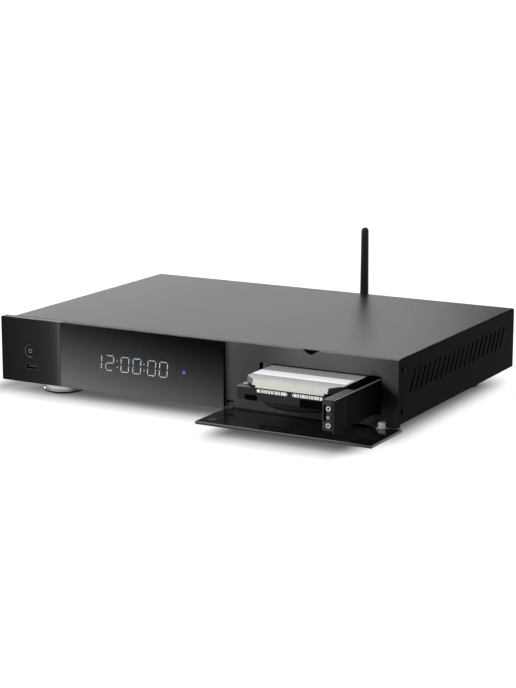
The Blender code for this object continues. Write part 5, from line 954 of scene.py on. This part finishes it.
pick(lid, "EDGE", lambda middle, way: abs(way.z) > STRAIGHT and middle.y < LID_LOW[1] + SAME_POINT
     and middle.x > (LID_LOW[0] + LID_HIGH[0]) / 2)
bpy.ops.transform.translate(value=(LIP_REACH, 0.0, 0.0))
pick(lid, "EDGE", lambda middle, way: middle.z > LID_HIGH[2] - SAME_POINT
     and middle.y < LID_LOW[1] + LID_CLIP)
bpy.ops.transform.translate(value=(0.0, LID_LIP, 0.0))
bpy.ops.object.mode_set(mode="OBJECT")
cut(lid, *[slab("step", (left, LID_LOW[1] - LID_LIP, LID_LOW[2] - LID_LIP),
                (right, LID_LOW[1] + LID_CLIP + LID_LIP, LIP_STEP_UP)) for left, right in LIP_STEPS])
soften(lid, LID_EDGE)
fit(lid, lid_finish, "lid_metal", "carrier", "drive_lid")

# A paper label is stuck over the lid behind the lip. It is printed with plain
# bands, white in front and mid grey behind.
LABEL_LOW = (0.0858, -0.1388, 0.0580)
LABEL_HIGH = (0.1792, -0.0230, 0.05810)
LABEL_ROUND = 0.0015
LABEL_GREY = (0.290, 0.290, 0.300)
LABEL_BANDS = ((-0.1212, (0.94, 0.94, 0.95)), (-0.1208, LABEL_GREY))

label_paper = finish_of("banded_label", LABEL_GREY, 0.55, size=0.0006, depth=0.000003, specular=0.2)
colour_by(label_paper, graded(label_paper.node_tree, ALONG_Y, *LABEL_BANDS))
fit(clipped(slab("drive_label", LABEL_LOW, LABEL_HIGH), ALONG_Z, LABEL_ROUND, 3),
    label_paper, "lid_metal", "carrier")

# Two paper stickers cut in the shape of pills are stuck on the base's front,
# printed with plain dark bars.
STICKER_ALONG = (BASE_FRONT - 0.00012, BASE_FRONT - 0.00001)
STICKER_UP = (0.0473, 0.0503)
STICKER_ROUND = 0.00144
STICKERS = ((0.1034, 0.1338), (0.1387, 0.1686))
PAPER_WHITE = (0.84, 0.84, 0.83)
BAR_STOPS = ((0.50, PAPER_WHITE), (0.56, 0.02))
BAR_SIZE = 0.0011

paper = finish_of("barred_paper", PAPER_WHITE, 0.6, size=0.0006, specular=0.2)
paper_tree = paper.node_tree
colour_by(paper, ramp(paper_tree, grain(paper_tree, BAR_SIZE, ALONG_X, detail=1.0), *BAR_STOPS))
for number, across in enumerate(STICKERS):
    sticker = slab(f"barred_sticker_{number}", *zip(across, STICKER_ALONG, STICKER_UP))
    fit(clipped(sticker, ALONG_Y, STICKER_ROUND, 8), paper, "lid_metal", "carrier")

# The drive's plug is a black moulding at its back, with a comb of gilt blades
# on the tongue that enters the socket.
PLUG_ALONG = (-0.0176, -0.0151)
PLUG_UP = 0.03475

dress(socket_black, "socket_black", "drive_plug")
contacts("drive_plug_blades", "carrier", BLADES_ACROSS, PLUG_ALONG, PLUG_UP, BLADE_COUNT, BLADE_WIDTH)

# The boards inside are green laminate with black packages and small capacitors,
# and the main processor wears a finned aluminium sink.
PACKAGES = (((-0.150, 0.075), (0.014, 0.014)), ((-0.055, 0.070), (0.012, 0.018)),
            ((-0.030, 0.115), (0.020, 0.012)), ((-0.145, 0.120), (0.010, 0.008)))
PACKAGE_UP = 0.0266
PACKAGE_THICK = 0.0014
BOARD_TOP = 0.0259
CANS = ((-0.172, 0.060), (-0.172, 0.071), (-0.010, 0.060), (-0.010, 0.071), (-0.022, 0.060))
CAN_PROFILE = ((0.0040, 0.0), (0.0040, 0.0012), (0.0037, 0.0018), (0.0040, 0.0024), (0.0040, 0.0096),
               (0.0036, 0.0100), (0.0010, 0.0099))

dress(finish_of("fin_aluminium", (0.50, 0.50, 0.52), 0.35, metal=1.0, depth=0.000003,
                stretch=(1.0, 0.1, 1.0)), "fin_aluminium", "heat_sink")
packages = [soften(block("package", (*middle, PACKAGE_UP), (*size, PACKAGE_THICK)), FINE_EDGE, 1)
            for middle, size in PACKAGES]
fit(joined("board_packages", *packages), socket_black, "board_green", "case")
can_sleeve = finish_of("capacitor_sleeve", (0.018, 0.020, 0.030), 0.35, depth=0.000004)
cans = [turned("can", CAN_PROFILE, "+Z", (*place, BOARD_TOP), sides=24) for place in CANS]
fit(joined("board_capacitors", *cans), can_sleeve, "board_green", "case")

# The sockets at the back are pressed shells and mouldings soldered to the main
# board. Inside are rows of small gilt contacts: where each row lies across and
# along, its height and count, and a contact's width and, for springs, thickness.
REAR_CONTACTS = {"hdmi_contacts": ((-0.1525, -0.1425), (0.1630, 0.1700), 0.02951, 10, 0.0004),
                 "rear_usb_contacts_0": ((-0.0985, -0.0890), (0.1590, 0.1697), 0.02929, 4, 0.0010),
                 "rear_usb_contacts_1": ((-0.0985, -0.0890), (0.1590, 0.1697), 0.03709, 4, 0.0010),
                 "network_springs": ((-0.1255, -0.1165), (0.1590, 0.1700), 0.0289, 8, 0.0005, 0.0003)}
LAN_LAMPS = {"green": (-0.1272, (0.04, 0.42, 0.08)), "amber": (-0.1148, (0.62, 0.26, 0.02))}
LAN_LAMP_SIZE = (0.0026, 0.0004, 0.0018)
LAN_LAMP_ROUND = 0.00018
LAN_LAMP_UP = 0.0379
LAN_FACE = 0.1721

dress(shell_steel, "bright_metal", "hdmi_port", "lan_port", "rear_usb_ports", "rca_jacks")
for name, row in REAR_CONTACTS.items():
    contacts(name, "case", *row)
for name, (middle, colour) in LAN_LAMPS.items():
    lamp = block(f"network_lamp_{name}", (middle, LAN_FACE, LAN_LAMP_UP), LAN_LAMP_SIZE)
    fit(soften(lamp, LAN_LAMP_ROUND), finish_of(f"{name}_lens", colour, 0.25), "display_glass", "case")

# Three phono jacks stand in a row, nickel barrels round coloured insulators,
# each sitting on a lacquered washer at the panel.
PHONO_UP = 0.0327
PHONO_COLOURS = {"yellow": (-0.066, (0.70, 0.48, 0.02)), "white": (-0.052, (0.72, 0.72, 0.70)),
                 "red": (-0.038, (0.55, 0.02, 0.02))}
INSULATOR_PROFILE = ((0.0017, -0.0006), (0.0017, 0.0001), (0.0019, 0.0002), (0.0031, 0.0002), (0.0033, 0.0),
                     (0.0033, -0.0006), (0.0017, -0.0006))
WASHER_PROFILE = ((0.0042, 0.0), (0.0058, 0.0), (0.0058, 0.0006), (0.0055, 0.0009), (0.0044, 0.0009),
                  (0.0042, 0.0006), (0.0042, 0.0))
PHONO_TRIM = {"insulator": (INSULATOR_PROFILE, 0.1800, 32), "washer": (WASHER_PROFILE, REAR_FACE, 40)}

for name, (across, colour) in PHONO_COLOURS.items():
    lacquer = finish_of(f"{name}_lacquer", colour, 0.35, depth=0.000003, vary=0.05)
    for kind, (profile, along, sides) in PHONO_TRIM.items():
        fit(turned(f"phono_{kind}_{name}", profile, "+Y", (across, along, PHONO_UP), sides),
            lacquer, "bright_metal", "case")

# The mains inlet is a black moulding with a deep recess. Its two round pins
# are turned brass, nickel plated, with rounded ends.
INLET_PINS = (0.17865, 0.18735)
INLET_UP = 0.0468
PIN_BACK = 0.1606
PIN_PROFILE = ((0.00125, 0.0), (0.00125, 0.0090), (0.00105, 0.0096), (0.0006, 0.0098))

for number, across in enumerate(INLET_PINS):
    fit(turned(f"mains_pin_{number}", PIN_PROFILE, "+Y", (across, PIN_BACK, INLET_UP), sides=28),
        shell_steel, "bright_metal", "case")

# The mains rocker is a glossy black moulding tipped to its off side, with the
# ring and the bar of a switch printed in white on its two halves.
ROCKER_AXIS = (0.1530, 0.1703, 0.0468)
ROCKER_TIP = radians(7.0)
ROCKER_SLOPE = radians(9.0)
ROCKER_FACE = 0.00454
ROCKER_HALF = 0.0033
SWITCH_RING = ((0.0011, -0.0001), (0.0015, -0.0001), (0.0015, 0.00008), (0.0011, 0.00008),
               (0.0011, -0.0001))
SWITCH_BAR = ((-0.0002, -0.0001, -0.0014), (0.0002, 0.00008, 0.0014))
SWITCH_ROUND = 0.00004

dress(finish_of("glossy_rocker", 0.010, 0.18, depth=0.000001), "gloss_black", "power_rocker")
white_print = finish_of("white_print", 0.75, 0.5, size=0.0004, vary=0.04)
tipped = Matrix.Translation(ROCKER_AXIS) @ Matrix.Rotation(ROCKER_TIP, 4, "X")
marks = (turned("switch_ring", SWITCH_RING, "+Y", ORIGIN, sides=36),
         soften(slab("switch_bar", *SWITCH_BAR), SWITCH_ROUND, 1))
for mark, side in zip(marks, (1, -1)):
    mark.data.transform(tipped @ Matrix.Translation((0.0, ROCKER_FACE, side * ROCKER_HALF))
                        @ Matrix.Rotation(-side * ROCKER_SLOPE, 4, "X"))
    fit(mark, white_print, "gloss_black", "power_rocker")

# The antenna's connector is turned from brass and gilt: a six-sided nut holds
# it in the panel, and its thread carries the knuckle.
THREAD_RADIUS = 0.0031
THREAD_DEPTH = 0.00022
THREAD_PITCH = 0.0005
THREAD_COUNT = 5
THREAD_PLACE = (0.0390, 0.1643, 0.0408)
CONNECTOR_LONG = 0.0131
NUT_PLACE = (0.0390, 0.1717, 0.0408)
NUT_PROFILE = ((0.0044, 0.0), (0.0050, 0.0002), (0.0050, 0.0020), (0.0044, 0.0022))

thread = [(THREAD_RADIUS - THREAD_DEPTH, 0.0), (THREAD_RADIUS, THREAD_DEPTH)]
for number in range(THREAD_COUNT, -1, -1):
    valley = CONNECTOR_LONG - THREAD_PITCH * number
    thread += [(THREAD_RADIUS, valley - THREAD_PITCH / 2), (THREAD_RADIUS - THREAD_DEPTH, valley)]
fit(joined("gilt_connector", turned("thread", thread, "+Y", THREAD_PLACE, sides=40),
           turned("nut", NUT_PROFILE, "+Y", NUT_PLACE, sides=6)),
    gilt, "bright_metal", "case", "antenna_connector")

# The antenna's knuckle and mast are black mouldings with a fine satin grain.
# The mast tapers to a round tip with a groove below it.
MAST_BLACK = (0.012, 0.012, 0.013)

dress(finish_of("satin_black_mast", MAST_BLACK, 0.40, size=0.0006, depth=0.000008, specular=0.15),
      "black_rubber", "antenna_mast", "antenna_knuckle")
